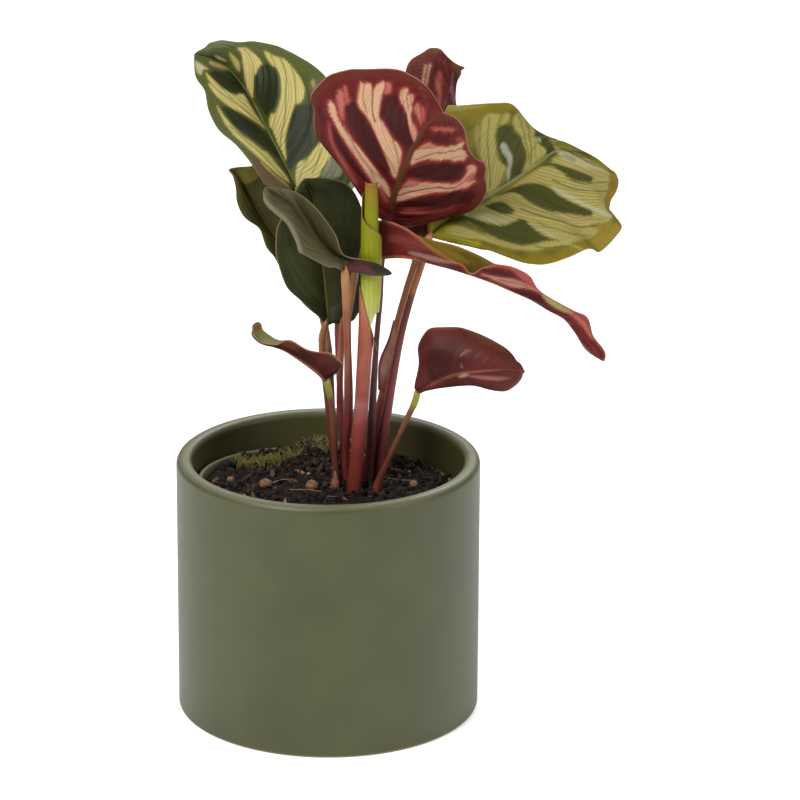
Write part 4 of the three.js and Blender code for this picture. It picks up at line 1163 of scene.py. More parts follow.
def make_blade(name, leaf, look):
    rails = blade_rails(leaf)
    gaps = len(rails["midrib"]) - 1
    rows, columns = look["rows"], look["columns"] + 1
    ends = 0.5 - 0.5 * np.cos(np.linspace(0, math.pi, rows))
    shares = 0.6 * np.linspace(0, 1, rows) + 0.4 * ends
    station, across = np.meshgrid(shares * gaps, np.linspace(-1, 1, columns), indexing="ij")
    points = draw_to_outline(name, blade_points(rails, station, across))
    normals = grid_normals(points)

    middle = columns // 2
    reach = np.linalg.norm(np.diff(points, axis=1), axis=2)
    travelled = np.concatenate([np.zeros((rows, 1)), np.cumsum(reach, axis=1)], axis=1)
    rib_mm = np.abs(travelled - travelled[:, middle:middle + 1])
    edge_mm = np.minimum(travelled, travelled[:, -1:] - travelled)
    tip_mm = np.linalg.norm(points - np.array(leaf["tip"], float), axis=2)
    edge_mm = np.minimum(edge_mm, tip_mm * 0.8)
    base_width, tip_width = look["rib"]
    rib_width = (base_width + (tip_width - base_width) * station / gaps)
    rib_share = 1 - smooth(0.55, 1.25, rib_mm / rib_width)

    per_station, depth = look["pleats"]
    half = np.abs(across)
    window = np.sin(math.pi * half**0.8) * smooth(0.6, 2.0, station) * smooth(0.3, 1.6, gaps - station)
    side_vein = station - 1.7 * half - 3.2 * half**5
    turn = 2 * math.pi * per_station * side_vein
    wave = np.cos(turn) + 0.35 * np.cos(3.1 * turn)
    relief = depth * window * wave
    groove = 0.35 * np.exp(-((rib_mm / 0.8) ** 2))
    keel = 1.1 * (1 - 0.75 * station / gaps) * np.exp(-((rib_mm / rib_width) ** 2))
    half_thickness = 0.26 * (0.45 + 0.55 * smooth(0.0, 1.5, edge_mm))
    upper = points + normals * (relief - groove + half_thickness)[..., None]
    lower = points + normals * (relief - keel - half_thickness)[..., None]

    piece = thin_sheet(f"leaf_{name}", upper, lower)
    fray = 0.7 * fibres(side_vein, 9) * (0.3 + half) + 0.35 * fibres(side_vein, 23)
    spots = seen_at(points).reshape(-1, 2)
    band, halo, vein, tone, blot, share, wash = paint_markings(name, spots, fray.ravel())
    # Washes, painted light among them, go only on the face turned to the camera.
    towards = np.array(CAMERA_AT) / MM - points
    upper_seen = ((normals * towards).sum(-1) > 0).ravel()
    under = np.concatenate([np.zeros(rows * columns), np.ones(rows * columns)])
    washed = np.concatenate([share * upper_seen, share * ~upper_seen])
    set_vectors(piece, "bands", np.stack([twice(band), twice(halo), twice(vein)], -1))
    set_vectors(piece, "tones", np.stack([twice(tone), twice(blot), washed], -1))
    set_vectors(piece, "wash", np.vstack([wash, wash]))
    set_vectors(piece, "zones", np.stack([twice(edge_mm), twice(side_vein), under], -1))
    set_vectors(piece, "place", np.stack([twice(station), twice(half), twice(rib_share)], -1))
    slots = {"markedGreen": "leaf_marked", "maroon": "leaf_maroon", "mauve": "leaf_mauve"}
    slot = slots.get(leaf["colour"], "leaf_dark")
    return finish_piece(piece, blade_material(name, look), slot, f"blade_{name}")


# ---- stems ----
def frames_along(centres):
    """Two directions across a line of points, turned as little as possible from one to the next."""
    tangents = unit(np.gradient(centres, axis=0))
    first = unit(np.cross(tangents[0], (0.0, 1.0, 0.0)))
    sides = [first]
    for tangent in tangents[1:]:
        side = sides[-1] - tangent * sides[-1].dot(tangent)
        sides.append(unit(side))
    sides = np.array(sides)
    return sides, np.cross(tangents, sides)


def tube(centres, radii, sides=20, ripple=None):
    """Points in rings around a line, and their faces with both ends closed."""
    u, v = frames_along(centres)
    angle = np.linspace(0, 2 * math.pi, sides, endpoint=False)
    ring = np.cos(angle)[None, :, None] * u[:, None] + np.sin(angle)[None, :, None] * v[:, None]
    radius = np.asarray(radii)[:, None] * np.ones(sides)
    if ripple is not None:
        radius = radius * ripple(np.linspace(0, 1, len(centres))[:, None], angle[None, :])
    points = centres[:, None] + ring * radius[..., None]
    return points.reshape(-1, 3), closed_rings(len(centres), sides)


def even_line(path, count):
    """Points evenly spaced along a Catmull-Rom curve through the path."""
    dense = rail(path, np.linspace(0, 1, 400))
    travelled = np.concatenate([[0], np.cumsum(np.linalg.norm(np.diff(dense, axis=0), axis=1))])
    wanted = np.linspace(0, travelled[-1], count)
    return np.stack([np.interp(wanted, travelled, dense[:, k]) for k in range(3)], -1)


def rooted(path):
    x, y, z = path[0]
    return [[x, y, z - ROOTING_DEPTH], *path]


def stem_material(name, stops):
    material, tree, shader = new_material(f"stem_{name}")
    along = add(tree, "ShaderNodeAttribute", attribute_name="along").outputs["Fac"]
    around = add(tree, "ShaderNodeAttribute", attribute_name="around").outputs["Fac"]
    uneven = place_group(tree, MOTTLE, {"Patch Size": 0.006, "Grain Size": 0.0009})
    shifted = math_node(tree, "ADD", along, math_node(tree, "MULTIPLY_ADD", uneven["Patches"], 0.06, -0.03))
    banded = colour_ramp(tree, shifted, stops)
    streak = math_node(tree, "SINE", math_node(tree, "MULTIPLY", around, 18 * 2 * math.pi))
    shade = math_node(tree, "MULTIPLY_ADD", streak, 0.07, 0.72)
    shade = math_node(tree, "MULTIPLY_ADD", uneven["Patches"], 0.5, shade)
    tree.links.new(shaded(tree, banded, shade), shader.inputs["Base Color"])
    tree.links.new(math_node(tree, "MULTIPLY_ADD", uneven["Grain"], 0.25, 0.33), shader.inputs["Roughness"])
    height = math_node(tree, "MULTIPLY_ADD", streak, 0.4, uneven["Grain"])
    bump(tree, shader, height, 0.4, 0.00012)
    return material


def add_stem_attributes(piece, rings, sides):
    share = np.repeat(np.linspace(0, 1, rings), sides)
    turn = np.tile(np.linspace(0, 1, sides, endpoint=False), rings)
    set_values(piece, "along", share)
    set_values(piece, "around", turn)


def make_stem(name, leaf, look):
    rails = blade_rails(leaf)
    into_blade = unit(rails["midrib"][1] - rails["midrib"][0]) * 2.0
    base = np.array(leaf["base"], float)
    path = rooted([*leaf["stem"]["path"], (base - 0.2 * into_blade).tolist(), (base + into_blade).tolist()])
    rings, sides = 90, 20
    centres = even_line(path, rings)
    share = np.linspace(0, 1, rings)
    radii = along_list([leaf["stem"]["radii"][0], *leaf["stem"]["radii"]], share) + look.get("fuller", 0.0)
    to_top = (1 - share) * np.linalg.norm(np.diff(centres, axis=0), axis=1).sum()
    radii = radii * (1 + 0.14 * smooth(11.5, 9.5, to_top) * smooth(0.5, 4.0, to_top))
    radii = radii * (0.4 + 0.6 * smooth(0.0, 3.2, to_top))
    wobble = rng.uniform(0, 6)
    points, faces = tube(centres, radii, sides, lambda s, a: 1 + 0.03 * np.cos(3 * a + wobble + 5 * s))
    piece = new_piece(f"stalk_{name}", points, faces)
    add_stem_attributes(piece, rings, sides)
    slot = {"orangeStem": "stem_orange", "brownStem": "stem_brown"}[leaf["stem"]["colour"]]
    return finish_piece(piece, stem_material(name, look["stem"]), slot, f"stem_{name}")


# ---- young rolled leaf in its red sheath ----
def mouth_height(x):
    slope = (MOUTH_RIGHT[1] - MOUTH_LEFT[1]) / (MOUTH_RIGHT[0] - MOUTH_LEFT[0])
    return MOUTH_LEFT[1] + slope * (x - MOUTH_LEFT[0])


def rolled_material():
    material, tree, shader = new_material("young_blade")
    place = attribute(tree, "place")
    uneven = place_group(tree, MOTTLE, {"Patch Size": 0.008, "Grain Size": 0.0008})
    lime = colour_ramp(tree, place["X"], YOUNG_BLADE)
    lines = math_node(tree, "SINE", math_node(tree, "MULTIPLY", place["Y"], 120.0))
    rim = span(tree, place["Z"], 0.2, 0.9, 1.0, 0.0)
    rimmed = blend_colour(tree, rim, lime, linear("#7d5a30"))
    shade = math_node(tree, "MULTIPLY_ADD", lines, 0.07, 0.82)
    shade = math_node(tree, "MULTIPLY_ADD", uneven["Patches"], 0.3, shade)
    tree.links.new(shaded(tree, rimmed, shade), shader.inputs["Base Color"])
    tree.links.new(math_node(tree, "MULTIPLY_ADD", uneven["Grain"], 0.2, 0.32), shader.inputs["Roughness"])
    shader.inputs["Specular IOR Level"].default_value = 0.15
    bump(tree, shader, lines, 0.25, 0.0001)
    return material


def make_rolled_leaf():
    """A blade still rolled up: a spiral sheet with a slanting free margin, sunk in the sheath's mouth."""
    rows, columns = 90, 120
    height_share, turn_share = np.meshgrid(np.linspace(0, 1, rows), np.linspace(0, 1, columns), indexing="ij")
    start, low_end, high_end = ROLL["inner_start"], ROLL["low_wrap_end"], ROLL["high_wrap_end"]
    head = YOUNG_LEAF["tip"] - YOUNG_LEAF["tip_drop"] * smooth(0.5, 0.72, turn_share)
    away_from_left = 0.5 - 0.5 * np.cos(np.radians(start + (low_end - start) * turn_share) - math.pi)
    foot = YOUNG_LEAF["foot"] + YOUNG_LEAF["foot_rise"] * smooth(0.1, 0.9, away_from_left)
    z = foot + (head - foot) * height_share
    wrap_end = low_end - (low_end - high_end) * smooth(*ROLL["wrap_end_heights"], z)
    angle = start + (wrap_end - start) * turn_share
    widest = along_list(ROLL["radii"], (z - ROLL["bottom"]) / (ROLL["top"] - ROLL["bottom"]))
    widest = widest - YOUNG_LEAF["tuck"] * smooth(192, 176, z)
    radius = widest - ROLL["pitch"] * (low_end - angle) / 360
    radius = radius * (1 + 0.012 * np.cos(9 * np.radians(angle)))
    turn = np.radians(angle)
    centre_x, centre_y = ROLL["centre"]
    points = np.stack([centre_x + radius * np.cos(turn), centre_y + radius * np.sin(turn), z], -1)
    normals = grid_normals(points)
    half = YOUNG_LEAF["half_thickness"]
    piece = thin_sheet("leaf_rolled", points + half * normals, points - half * normals)
    edge = np.minimum(head - z, (1 - turn_share) * 25)
    place = np.stack([(z - 165) / 72, turn_share, edge], -1).reshape(-1, 3)
    set_vectors(piece, "place", np.vstack([place, place]))
    return finish_piece(piece, rolled_material(), "leaf_young", "blade_rolled")


def make_red_sheath():
    """The rolled leaf's stem: a ribbed sheath, open at the top along a slant, with a thin lip."""
    path = rooted(ROLLED_STEM["path"])
    rings, sides = 110, 40
    centres = even_line(path, rings)
    share = np.linspace(0, 1, rings)
    radii = along_list([ROLLED_STEM["radii"][0], *ROLLED_STEM["radii"]], share)

    def ribs(s, a):
        return 1 + 0.025 * np.cos(7 * a + 2 * s) * smooth(0.15, 0.4, s)

    outer, _ = tube(centres, radii, sides, ribs)
    inner, _ = tube(centres, radii - SHEATH_WALL, sides, ribs)
    outer = outer.reshape(rings, sides, 3)
    inner = inner.reshape(rings, sides, 3)
    for shell in (outer, inner):
        shell[..., 2] = np.minimum(shell[..., 2], mouth_height(shell[..., 0]))
    inside_rings = 40
    kept = inner[rings - inside_rings:][::-1]
    points = np.vstack([outer.reshape(-1, 3), kept.reshape(-1, 3)])
    piece = new_piece("stalk_rolled", points, closed_rings(rings + inside_rings, sides))
    add_stem_attributes(piece, rings + inside_rings, sides)
    along = np.concatenate([np.repeat(share, sides), np.repeat(share[::-1][:inside_rings], sides)])
    piece.data.attributes["along"].data.foreach_set("value", along.astype(np.float32))
    return finish_piece(piece, stem_material("rolled", RED_SHEATH), "stem_red", "stem_rolled")


def plain_growth_material(name, low, high):
    material, tree, shader = new_material(name)
    uneven = place_group(tree, MOTTLE, {"Patch Size": 0.004, "Grain Size": 0.0008})
    tree.links.new(blend_colour(tree, span(tree, uneven["Patches"], 0.3, 0.7), linear(low), linear(high)),
                   shader.inputs["Base Color"])
    tree.links.new(math_node(tree, "MULTIPLY_ADD", uneven["Grain"], 0.3, 0.35), shader.inputs["Roughness"])
    bump(tree, shader, uneven["Grain"], 0.4, 0.00015)
    return material


def wing_material():
    """Papery sheath: red along its free edge, pale inside, tan where it runs up into the stem."""
    material, tree, shader = new_material("pink_sheath")
    place = attribute(tree, "place")
    uneven = place_group(tree, MOTTLE, {"Patch Size": 0.004, "Grain Size": 0.0006})
    skin = blend_colour(tree, span(tree, uneven["Patches"], 0.3, 0.7), linear("#b07a68"), linear("#bd8c74"))
    skin = blend_colour(tree, span(tree, place["X"], 0.0, 0.3, 1.0, 0.0), skin, linear("#a5683f"))
    skin = blend_colour(tree, span(tree, place["X"], 0.7, 1.0), skin, linear("#8a3f3c"))
    skin = blend_colour(tree, span(tree, place["Y"], 0.1, 0.4, 1.0, 0.0), skin, linear("#7a2228"))
    tree.links.new(skin, shader.inputs["Base Color"])
    tree.links.new(math_node(tree, "MULTIPLY_ADD", uneven["Grain"], 0.3, 0.4), shader.inputs["Roughness"])
    bump(tree, shader, uneven["Grain"], 0.3, 0.0001)
    return material


def make_sheath_wing():
    rows, columns = 70, 14
    share, across = np.meshgrid(np.linspace(0, 1, rows), np.linspace(0, 1, columns), indexing="ij")
    outer, inner = rail(WING_OUTER, share[:, 0]), rail(WING_INNER, share[:, 0])
    points = outer[:, None] + (inner - outer)[:, None] * across[..., None]
    normals = grid_normals(points)
    curl = 0.5 * np.sin(math.pi * across) + 0.12 * np.cos(40 * across + 6 * share)
    middle = points + normals * curl[..., None]
    upper, lower = middle + 0.14 * normals, middle - 0.14 * normals
    piece = thin_sheet("sheath_wing_skin", upper, lower)
    place = np.stack([share, across, 0 * share], -1).reshape(-1, 3)
    set_vectors(piece, "place", np.vstack([place, place]))
    return finish_piece(piece, wing_material(), "sheath_pink", "sheath_wing")


def make_bud():
    rings, sides = 26, 24
    share = np.linspace(0, 1, rings)
    x, y, z = BUD["at"]
    centres = np.stack([x + 0.5 * np.sin(2.4 * share), np.full(rings, y), z - 1.5 + share * 10.4], -1)
    radii = np.maximum(BUD["radius"] * np.sin(math.pi * np.clip(share, 0.02, 0.99)**0.7), 0.05)
    points, faces = tube(centres, radii, sides, lambda s, a: 1 + 0.06 * np.cos(5 * a + 3 * s))
    piece = new_piece("bud_skin", points, faces)
    scales = plain_growth_material("bud_scales", "#4c2a20", "#7d4a38")
    return finish_piece(piece, scales, "stem_red", "basal_bud")


# ---- soil and what lies on it ----
def soil_height(x, y):
    height = SOIL_LEVEL + 0 * x
    for mound_x, mound_y, rise, spread in MOUNDS:
        height = height + rise * np.exp(-((np.hypot(x - mound_x, y - mound_y) / spread) ** 2) / 2)
    height = height + 0.8 * np.sin(x * 0.43 + 1.3) * np.sin(y * 0.51 + 0.4) + 0.4 * np.sin(x * 0.91 - y * 0.67)
    return height + (1.6 * smooth(10, -30, x) - 0.8) * smooth(40, 51, np.hypot(x, y))


def fine_lumps(x, y):
    lumps = 0.0
    noise = np.random.default_rng(9)
    for wave_mm, height in ((7.0, 0.5), (4.2, 0.4), (2.6, 0.32), (1.7, 0.22), (1.1, 0.14)):
        for _ in range(4):
            turn, phase = noise.uniform(0, 2 * math.pi, 2)
            run = x * math.cos(turn) + y * math.sin(turn)
            lumps = lumps + 0.5 * height * np.sin(run * 6.3 / wave_mm + phase)
    return lumps


def soil_material():
    material, tree, shader = new_material("potting_mix")
    uneven = place_group(tree, MOTTLE, {"Patch Size": 0.006, "Grain Size": 0.0007})
    colour = blend_colour(tree, span(tree, uneven["Patches"], 0.35, 0.7), linear("#0e0a08"), linear("#241a14"))
    colour = blend_colour(tree, span(tree, uneven["Grain"], 0.62, 0.75, 0.0, 0.7), colour, linear("#5a4332"))
    tree.links.new(colour, shader.inputs["Base Color"])
    tree.links.new(math_node(tree, "MULTIPLY_ADD", uneven["Grain"], -0.2, 0.95), shader.inputs["Roughness"])
    shader.inputs["Specular IOR Level"].default_value = 0.15
    bump(tree, shader, uneven["Grain"], 0.9, 0.0006)
    return material


def make_soil():
    rings, sectors = 116, 270
    radius, turn = np.meshgrid(np.linspace(0.02, 1, rings) * SOIL_RADIUS,
                               np.linspace(0, 2 * math.pi, sectors, endpoint=False), indexing="ij")
    x, y = radius * np.cos(turn), radius * np.sin(turn)
    z = soil_height(x, y) + fine_lumps(x, y) - SOIL_SUNK
    top = np.stack([x, y, z], -1)
    foot = top[-1:].copy()
    foot[..., 2] = SOIL_FOOT
    points = np.vstack([top, foot * np.array([0.94, 0.94, 1.0])]).reshape(-1, 3)
    piece = new_piece("soil_surface", points, closed_rings(rings + 1, sectors))
    return finish_piece(piece, soil_material(), "soil", "potting_soil")


def crumb_shape(size, stretch, roundness):
    """An irregular little lump: the corners and faces of a shaken icosahedron."""
    g = (1 + 5**0.5) / 2
    corners = np.array([(-1, g, 0), (1, g, 0), (-1, -g, 0), (1, -g, 0), (0, -1, g), (0, 1, g), (0, -1, -g),
                        (0, 1, -g), (g, 0, -1), (g, 0, 1), (-g, 0, -1), (-g, 0, 1)]) / math.sqrt(1 + g * g)
    faces = [(0, 11, 5), (0, 5, 1), (0, 1, 7), (0, 7, 10), (0, 10, 11), (1, 5, 9), (5, 11, 4), (11, 10, 2),
             (10, 7, 6), (7, 1, 8), (3, 9, 4), (3, 4, 2), (3, 2, 6), (3, 6, 8), (3, 8, 9), (4, 9, 5),
             (2, 4, 11), (6, 2, 10), (8, 6, 7), (9, 8, 1)]
    shaken = corners * np.array([[rng.uniform(roundness, 1)] for _ in corners])
    shaken = shaken * np.array(stretch) * size
    a, b, c = (rng.uniform(0, 2 * math.pi) for _ in range(3))
    turn_z = np.array([[math.cos(a), -math.sin(a), 0], [math.sin(a), math.cos(a), 0], [0, 0, 1]])
    turn_x = np.array([[1, 0, 0], [0, math.cos(b), -math.sin(b)], [0, math.sin(b), math.cos(b)]])
    turn_y = np.array([[math.cos(c), 0, math.sin(c)], [0, 1, 0], [-math.sin(c), 0, math.cos(c)]])
    return shaken @ (turn_z @ turn_x @ turn_y).T, faces


def free_of_pebbles(x, y, margin):
    return all(math.hypot(x - p["at"][0], y - p["at"][1]) > p["size"][0] + margin for p in PEBBLES.values())


def crumb_material():
    material, tree, shader = new_material("soil_crumbs")
    tint = add(tree, "ShaderNodeAttribute", attribute_name="tint").outputs["Fac"]
    uneven = place_group(tree, MOTTLE, {"Patch Size": 0.002, "Grain Size": 0.0004})
    crumb = colour_ramp(tree, tint, CRUMB_TINTS)
    shade = math_node(tree, "MULTIPLY_ADD", uneven["Grain"], 0.9, 0.55)
    tree.links.new(shaded(tree, crumb, shade), shader.inputs["Base Color"])
    tree.links.new(math_node(tree, "MULTIPLY_ADD", uneven["Patches"], -0.2, 0.95), shader.inputs["Roughness"])
    shader.inputs["Specular IOR Level"].default_value = 0.2
    bump(tree, shader, uneven["Grain"], 0.7, 0.0003)
    return material


def make_crumbs():
    points, faces, tints, first = [], [], [], 0
    for number in range(CRUMBS + HEAP["crumbs"]):
        heaped = number >= CRUMBS
        reach, turn = CRUMB_REACH * math.sqrt(rng.random()), rng.uniform(0, 2 * math.pi)
        x, y = reach * math.cos(turn), reach * math.sin(turn)
        if heaped:
            x, y = (rng.gauss(middle, spread) for middle, spread in zip(HEAP["at"], HEAP["spread"]))
        size = rng.choice((0.4, 0.55, 0.7, 0.9, 1.2, 1.6, 2.3))
        if not free_of_pebbles(x, y, size * 0.6):
            continue
        long_bit = rng.random() < 0.25
        stretch = (2.2, 0.7, 0.5) if long_bit else (1, rng.uniform(0.7, 1), rng.uniform(0.55, 0.9))
        shape, shape_faces = crumb_shape(size, stretch, 0.6)
        height = float(soil_height(x, y)) + float(fine_lumps(x, y)) - SOIL_SUNK + 0.25 * size
        height += rng.uniform(0, 1.6) if heaped else 0
        points.append(shape + np.array([x, y, height]))
        faces += [tuple(first + k for k in face) for face in shape_faces]
        first += len(shape)
        tint = rng.betavariate(1.3, 2.6) + (0.1 if long_bit else 0) + (0.16 if heaped else 0)
        tints += [min(1.0, tint)] * len(shape)
    piece = new_piece("soil_crumbs", np.vstack(points), faces, smooth_faces=False)
    set_values(piece, "tint", tints)
    return finish_piece(piece, crumb_material(), "soil")


def make_moss():
    """Tufts of short moss strands around the mound."""
    points, faces, tints = [], [], []
    first = 0
    for tuft_x, tuft_y, spread in MOSS_TUFTS:
        for _ in range(STRANDS_PER_TUFT):
            x, y = rng.gauss(tuft_x, spread * 0.5), rng.gauss(tuft_y, spread * 0.4)
            if math.hypot(x, y) > MOSS_REACH:
                continue
            z = float(soil_height(x, y)) - 0.4
            length, lean, turn = rng.uniform(1.6, 4.4), rng.uniform(0.1, 1.2), rng.uniform(0, 6.3)
            step = np.linspace(0, 1, 5)
            sweep = length * lean * step**1.6
            line = np.stack([x + sweep * math.cos(turn), y + sweep * math.sin(turn), z + length * step], -1)
            ring, ring_faces = tube(line, 0.2 * (1 - 0.7 * step), 4)
            points.append(ring)
            faces += [tuple(first + k for k in face) for face in ring_faces]
            tints += [rng.random()] * len(ring)
            first += len(ring)
    piece = new_piece("moss_tufts", np.vstack(points), faces)
    set_values(piece, "tint", tints)
    material, tree, shader = new_material("moss")
    tint = add(tree, "ShaderNodeAttribute", attribute_name="tint").outputs["Fac"]
    uneven = place_group(tree, MOTTLE, {"Patch Size": 0.003, "Grain Size": 0.0005})
    share = math_node(tree, "MULTIPLY_ADD", uneven["Grain"], 0.4, math_node(tree, "MULTIPLY", tint, 0.7))
    tree.links.new(blend_colour(tree, share, linear("#3a3510"), linear("#857c3a")), shader.inputs["Base Color"])
    shader.inputs["Roughness"].default_value = 0.9
    return finish_piece(piece, material, "soil")


def make_rootlets():
    """A dry curled twig and a few thin rootlets on the soil."""
    rings = 24
    points, faces, first = [], [], 0
    for path, radius in [TWIG, *ROOTLETS]:
        centres = even_line(path, rings)
        ring, ring_faces = tube(centres, radius * (1 - 0.4 * np.linspace(0, 1, rings)), 8)
        points.append(ring)
        faces += [tuple(first + k for k in face) for face in ring_faces]
        first += len(ring)
    piece = new_piece("rootlets", np.vstack(points), faces)
    return finish_piece(piece, plain_growth_material("dry_root", "#6b4a30", "#a88460"), "soil")


def make_pebbles():
    material, tree, shader = new_material("pebble")
    uneven = place_group(tree, MOTTLE, {"Patch Size": 0.0022, "Grain Size": 0.0005})
    colour = blend_colour(tree, span(tree, uneven["Patches"], 0.3, 0.7), linear("#4f3220"), linear("#7a5236"))
    colour = blend_colour(tree, span(tree, uneven["Grain"], 0.6, 0.8, 0.0, 0.5), colour, linear("#9c7c5c"))
    tree.links.new(colour, shader.inputs["Base Color"])
    tree.links.new(math_node(tree, "MULTIPLY_ADD", uneven["Grain"], 0.2, 0.65), shader.inputs["Roughness"])
    bump(tree, shader, uneven["Grain"], 0.6, 0.0004)
    for name, pebble in PEBBLES.items():
        rows, columns = 22, 32
        tilt, turn = np.meshgrid(np.linspace(0.02, math.pi - 0.02, rows),
                                 np.linspace(0, 2 * math.pi, columns, endpoint=False), indexing="ij")
        x, y, z = np.sin(tilt) * np.cos(turn), np.sin(tilt) * np.sin(turn), np.cos(tilt)
        phase = 3 * pebble["turn"]
        lump = 1 + 0.06 * np.sin(3 * x + phase) * np.cos(4 * y - phase) + 0.04 * np.sin(6 * z + 5 * x + phase)
        points = np.stack([x, y, z], -1) * lump[..., None] * (np.array(pebble["size"]) * 0.96)
        c, s = math.cos(pebble["turn"]), math.sin(pebble["turn"])
        points = points @ np.array([[c, s, 0], [-s, c, 0], [0, 0, 1]]) + np.array(pebble["at"])
        piece = new_piece(f"{name}_stone", points.reshape(-1, 3), closed_rings(rows, columns, flip=True))
        finish_piece(piece, material, "stone", name)


# ---- pot and nursery pot ----
def turned(name, profile, sides):
    """A profile of (radius, height) turned around the axis; it starts and ends on it."""
    profile = np.array(profile)
    turn = np.linspace(0, 2 * math.pi, sides, endpoint=False)
    points = np.stack([profile[:, :1] * np.cos(turn), profile[:, :1] * np.sin(turn),
                       np.repeat(profile[:, 1:], sides, axis=1)], -1)
    return new_piece(name, points.reshape(-1, 3), closed_rings(len(profile), sides))


def arc(cx, cz, radius, start, end, steps):
    turn = np.radians(np.linspace(start, end, steps))
    return list(zip(cx + radius * np.cos(turn), cz + radius * np.sin(turn)))


def pot_profile():
    outer, inner = POT["radius"], POT["radius"] - POT["wall"]
    lip, foot, inside = POT["lip_round"], POT["foot_round"], POT["inner_round"]
    top, floor = POT["height"], POT["floor"]
    return [
        (0.01, 0), (outer * 0.5, 0), (outer - foot - 1, 0), *arc(outer - foot, foot, foot, -90, 0, 10),
        *[(outer, z) for z in np.linspace(foot + 1, top - lip - 1, 24)],
        *arc(outer - lip, top - lip, lip, 0, 90, 12), *arc(inner + lip, top - lip, lip, 90, 180, 12),
        *[(inner, z) for z in np.linspace(top - lip - 1, floor + inside + 1, 16)],
        *arc(inner - inside, floor + inside, inside, 0, -90, 8), (inner * 0.5, floor), (0.01, floor),
    ]


def glaze_material():
    """Satin glaze: slow cloudiness and fine orange peel, a painted highlight along the top of the lip, paler at
    the foot, and a painted shade colour on the inner wall.
    """
    material, tree, shader = new_material("olive_glaze")
    place = tree.nodes.new("ShaderNodeTexCoord").outputs["Object"]
    parts = add(tree, "ShaderNodeSeparateXYZ", [(0, place)]).outputs
    radius = math_node(tree, "SQRT", math_node(
        tree, "MULTIPLY_ADD", parts["X"], parts["X"], math_node(tree, "MULTIPLY", parts["Y"], parts["Y"])))
    uneven = place_group(tree, MOTTLE, {"Patch Size": 0.03, "Grain Size": 0.0016})
    colour = blend_colour(tree, span(tree, uneven["Patches"], 0.3, 0.7), linear("#393b1e"), linear("#404224"))
    inner = POT["radius"] - POT["wall"]
    # Painted shade: the inner wall takes its own colour, for the shade inside the pot.
    inside = span(tree, radius, (inner + 0.5) * MM, (inner + 2.5) * MM, 1.0, 0.0)
    colour = blend_colour(tree, inside, colour, linear(POT_INSIDE_SHADE))
    # Painted highlight: the top of the lip made paler, where light catches it.
    top = span(tree, parts["Z"], (POT["height"] - 1.5) * MM, (POT["height"] - 0.2) * MM)
    colour = blend_colour(tree, math_node(tree, "MULTIPLY", top, 0.45), colour, linear("#74745a"))
    foot = span(tree, parts["Z"], 0.0004, 0.0016, 1.0, 0.0)
    colour = blend_colour(tree, math_node(tree, "MULTIPLY", foot, 0.5), colour, linear("#7a6a4c"))
    tree.links.new(colour, shader.inputs["Base Color"])
    tree.links.new(math_node(tree, "MULTIPLY_ADD", uneven["Patches"], 0.12, 0.40), shader.inputs["Roughness"])
    shader.inputs["Specular IOR Level"].default_value = 0.4
    bump(tree, shader, uneven["Grain"], 0.12, 0.0002)
    return material


def make_pot():
    pot = turned("glazed_pot", pot_profile(), 192)
    finish_piece(pot, glaze_material(), "glaze", "pot")


def liner_material():
    """Thin matt plastic, unevenly toned, paler along the top of the rim."""
    material, tree, shader = new_material("nursery_plastic")
    edge = attribute(tree, "place")["X"]
    uneven = place_group(tree, MOTTLE, {"Patch Size": 0.02, "Grain Size": 0.0008})
    plastic = blend_colour(tree, uneven["Patches"], linear("#23261a"), linear("#2f3322"))
    plastic = blend_colour(tree, math_node(tree, "MULTIPLY", edge, 0.8), plastic, linear("#6d6a48"))
    tree.links.new(plastic, shader.inputs["Base Color"])
    tree.links.new(math_node(tree, "MULTIPLY_ADD", uneven["Grain"], 0.3, 0.45), shader.inputs["Roughness"])
    bump(tree, shader, uneven["Grain"], 0.3, 0.0001)
    return material


def make_liner():
    foot, top, wall = LINER["foot"], LINER["top"], LINER["wall"]
    slope = (LINER["rim_radius"] - LINER["base_radius"]) / (top - foot)

    def reach(z):
        return LINER["base_radius"] + slope * (z - foot)

    profile = [(0.01, foot), (LINER["base_radius"] - 1, foot), (LINER["base_radius"], foot + 1)]
    profile += [(reach(z), z) for z in np.linspace(foot + 4, top - 3.2, 20)]
    profile += [(reach(top - 3.2) + 0.9, top - 3.0), (reach(top) + 0.95, top - 0.4), (reach(top) + 0.7, top)]
    profile += [(reach(top) - 0.5, top), (reach(top) - wall - 0.1, top - 0.5)]
    profile += [(reach(z) - wall - 0.3, z) for z in np.linspace(top - 3, foot + 3, 16)] + [(0.01, foot + 1)]
    piece = turned("nursery_pot_skin", profile, 160)
    heights = np.array([vertex.co.z for vertex in piece.data.vertices]) / MM
    set_vectors(piece, "place", np.stack([smooth(top - 0.7, top - 0.3, heights), 0 * heights, 0 * heights], -1))
    for vertex in piece.data.vertices:
        if vertex.co.z > (foot + 2) * MM:
            vertex.co.z -= LINER["lean"] * (vertex.co.x + vertex.co.y)
    finish_piece(piece, liner_material(), "liner", "nursery_pot")


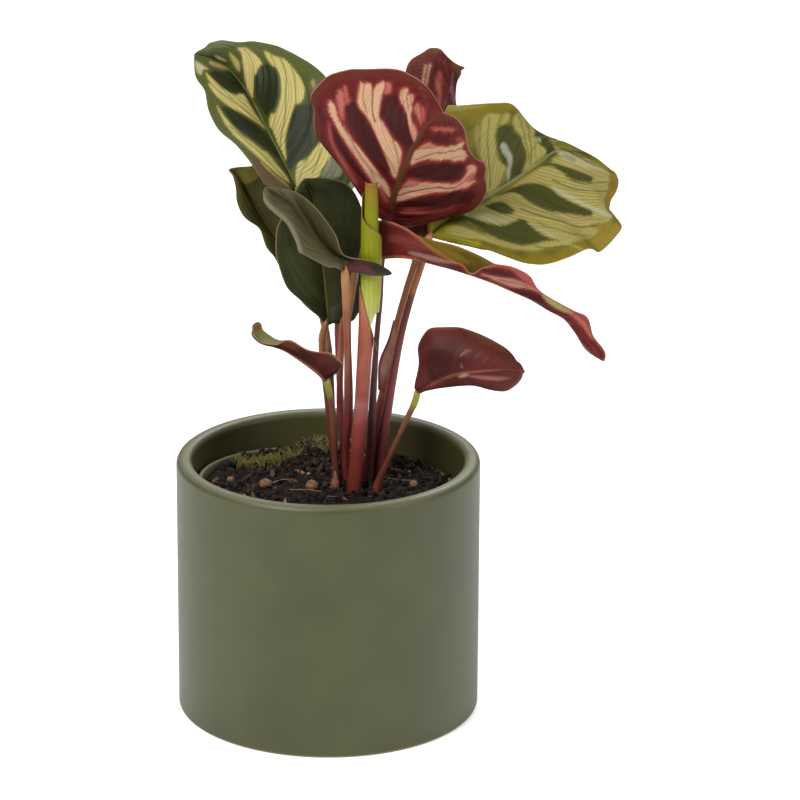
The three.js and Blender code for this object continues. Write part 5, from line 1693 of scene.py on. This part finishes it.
# ---- room ----
def make_room():
    camera_data = bpy.data.cameras.new("camera")
    camera_data.sensor_width = SENSOR_MM
    camera_data.lens = FOCAL_PIXELS / PICTURE_PIXELS * SENSOR_MM
    camera_data.shift_x = (PICTURE_PIXELS / 2 - PLANT_AXIS_COLUMN) / PICTURE_PIXELS
    camera_data.clip_start, camera_data.clip_end = 0.05, 50
    camera = bpy.data.objects.new("camera", camera_data)
    camera.location = CAMERA_AT
    camera.rotation_euler = (math.pi / 2 - CAMERA_PITCH, 0, 0)
    bpy.context.scene.collection.objects.link(camera)
    bpy.context.scene.camera = camera

    points = np.array([(-6, -6, 0), (6, -6, 0), (6, 6, 0), (-6, 6, 0)]) * 1000.0
    floor = new_piece("floor", points, [(0, 1, 2, 3)])
    material, tree, shader = new_material("pale_floor")
    shader.inputs["Base Color"].default_value = (0.9, 0.9, 0.9, 1)
    shader.inputs["Roughness"].default_value = 0.7
    shader.inputs["Emission Color"].default_value = (1, 1, 1, 1)
    shader.inputs["Emission Strength"].default_value = 0.36
    floor.data.materials.append(material)

    world = bpy.data.worlds.new("room")
    world.use_nodes = True
    world.node_tree.nodes["Background"].inputs[0].default_value = (1, 1, 1, 1)
    world.node_tree.nodes["Background"].inputs[1].default_value = 0.27
    bpy.context.scene.world = world
    for name, at, size, power in (
        ("key", (-1.1, -1.2, 1.7), 1.0, 54.0),
        ("fill", (1.5, -0.9, 1.0), 1.2, 19.0),
        ("back", (0.3, 1.4, 1.4), 0.9, 18.0),
    ):
        light_data = bpy.data.lights.new(name, "AREA")
        light_data.size = size
        light_data.energy = power
        light = bpy.data.objects.new(name, light_data)
        light.location = at
        direction = np.array((0.0, 0.0, 0.15)) - np.array(at)
        pitch = math.atan2(math.hypot(direction[0], direction[1]), -direction[2])
        light.rotation_euler = (pitch, 0, math.atan2(direction[1], direction[0]) - math.pi / 2)
        bpy.context.scene.collection.objects.link(light)
    bpy.context.scene.view_settings.view_transform = "Standard"


make_room()
make_pot()
make_liner()
make_soil()
make_crumbs()
make_pebbles()
make_moss()
make_rootlets()
for leaf_name, leaf_shape in LEAVES.items():
    make_blade(leaf_name, leaf_shape, LOOKS[leaf_name])
    make_stem(leaf_name, leaf_shape, LOOKS[leaf_name])
make_rolled_leaf()
make_red_sheath()
make_sheath_wing()
make_bud()
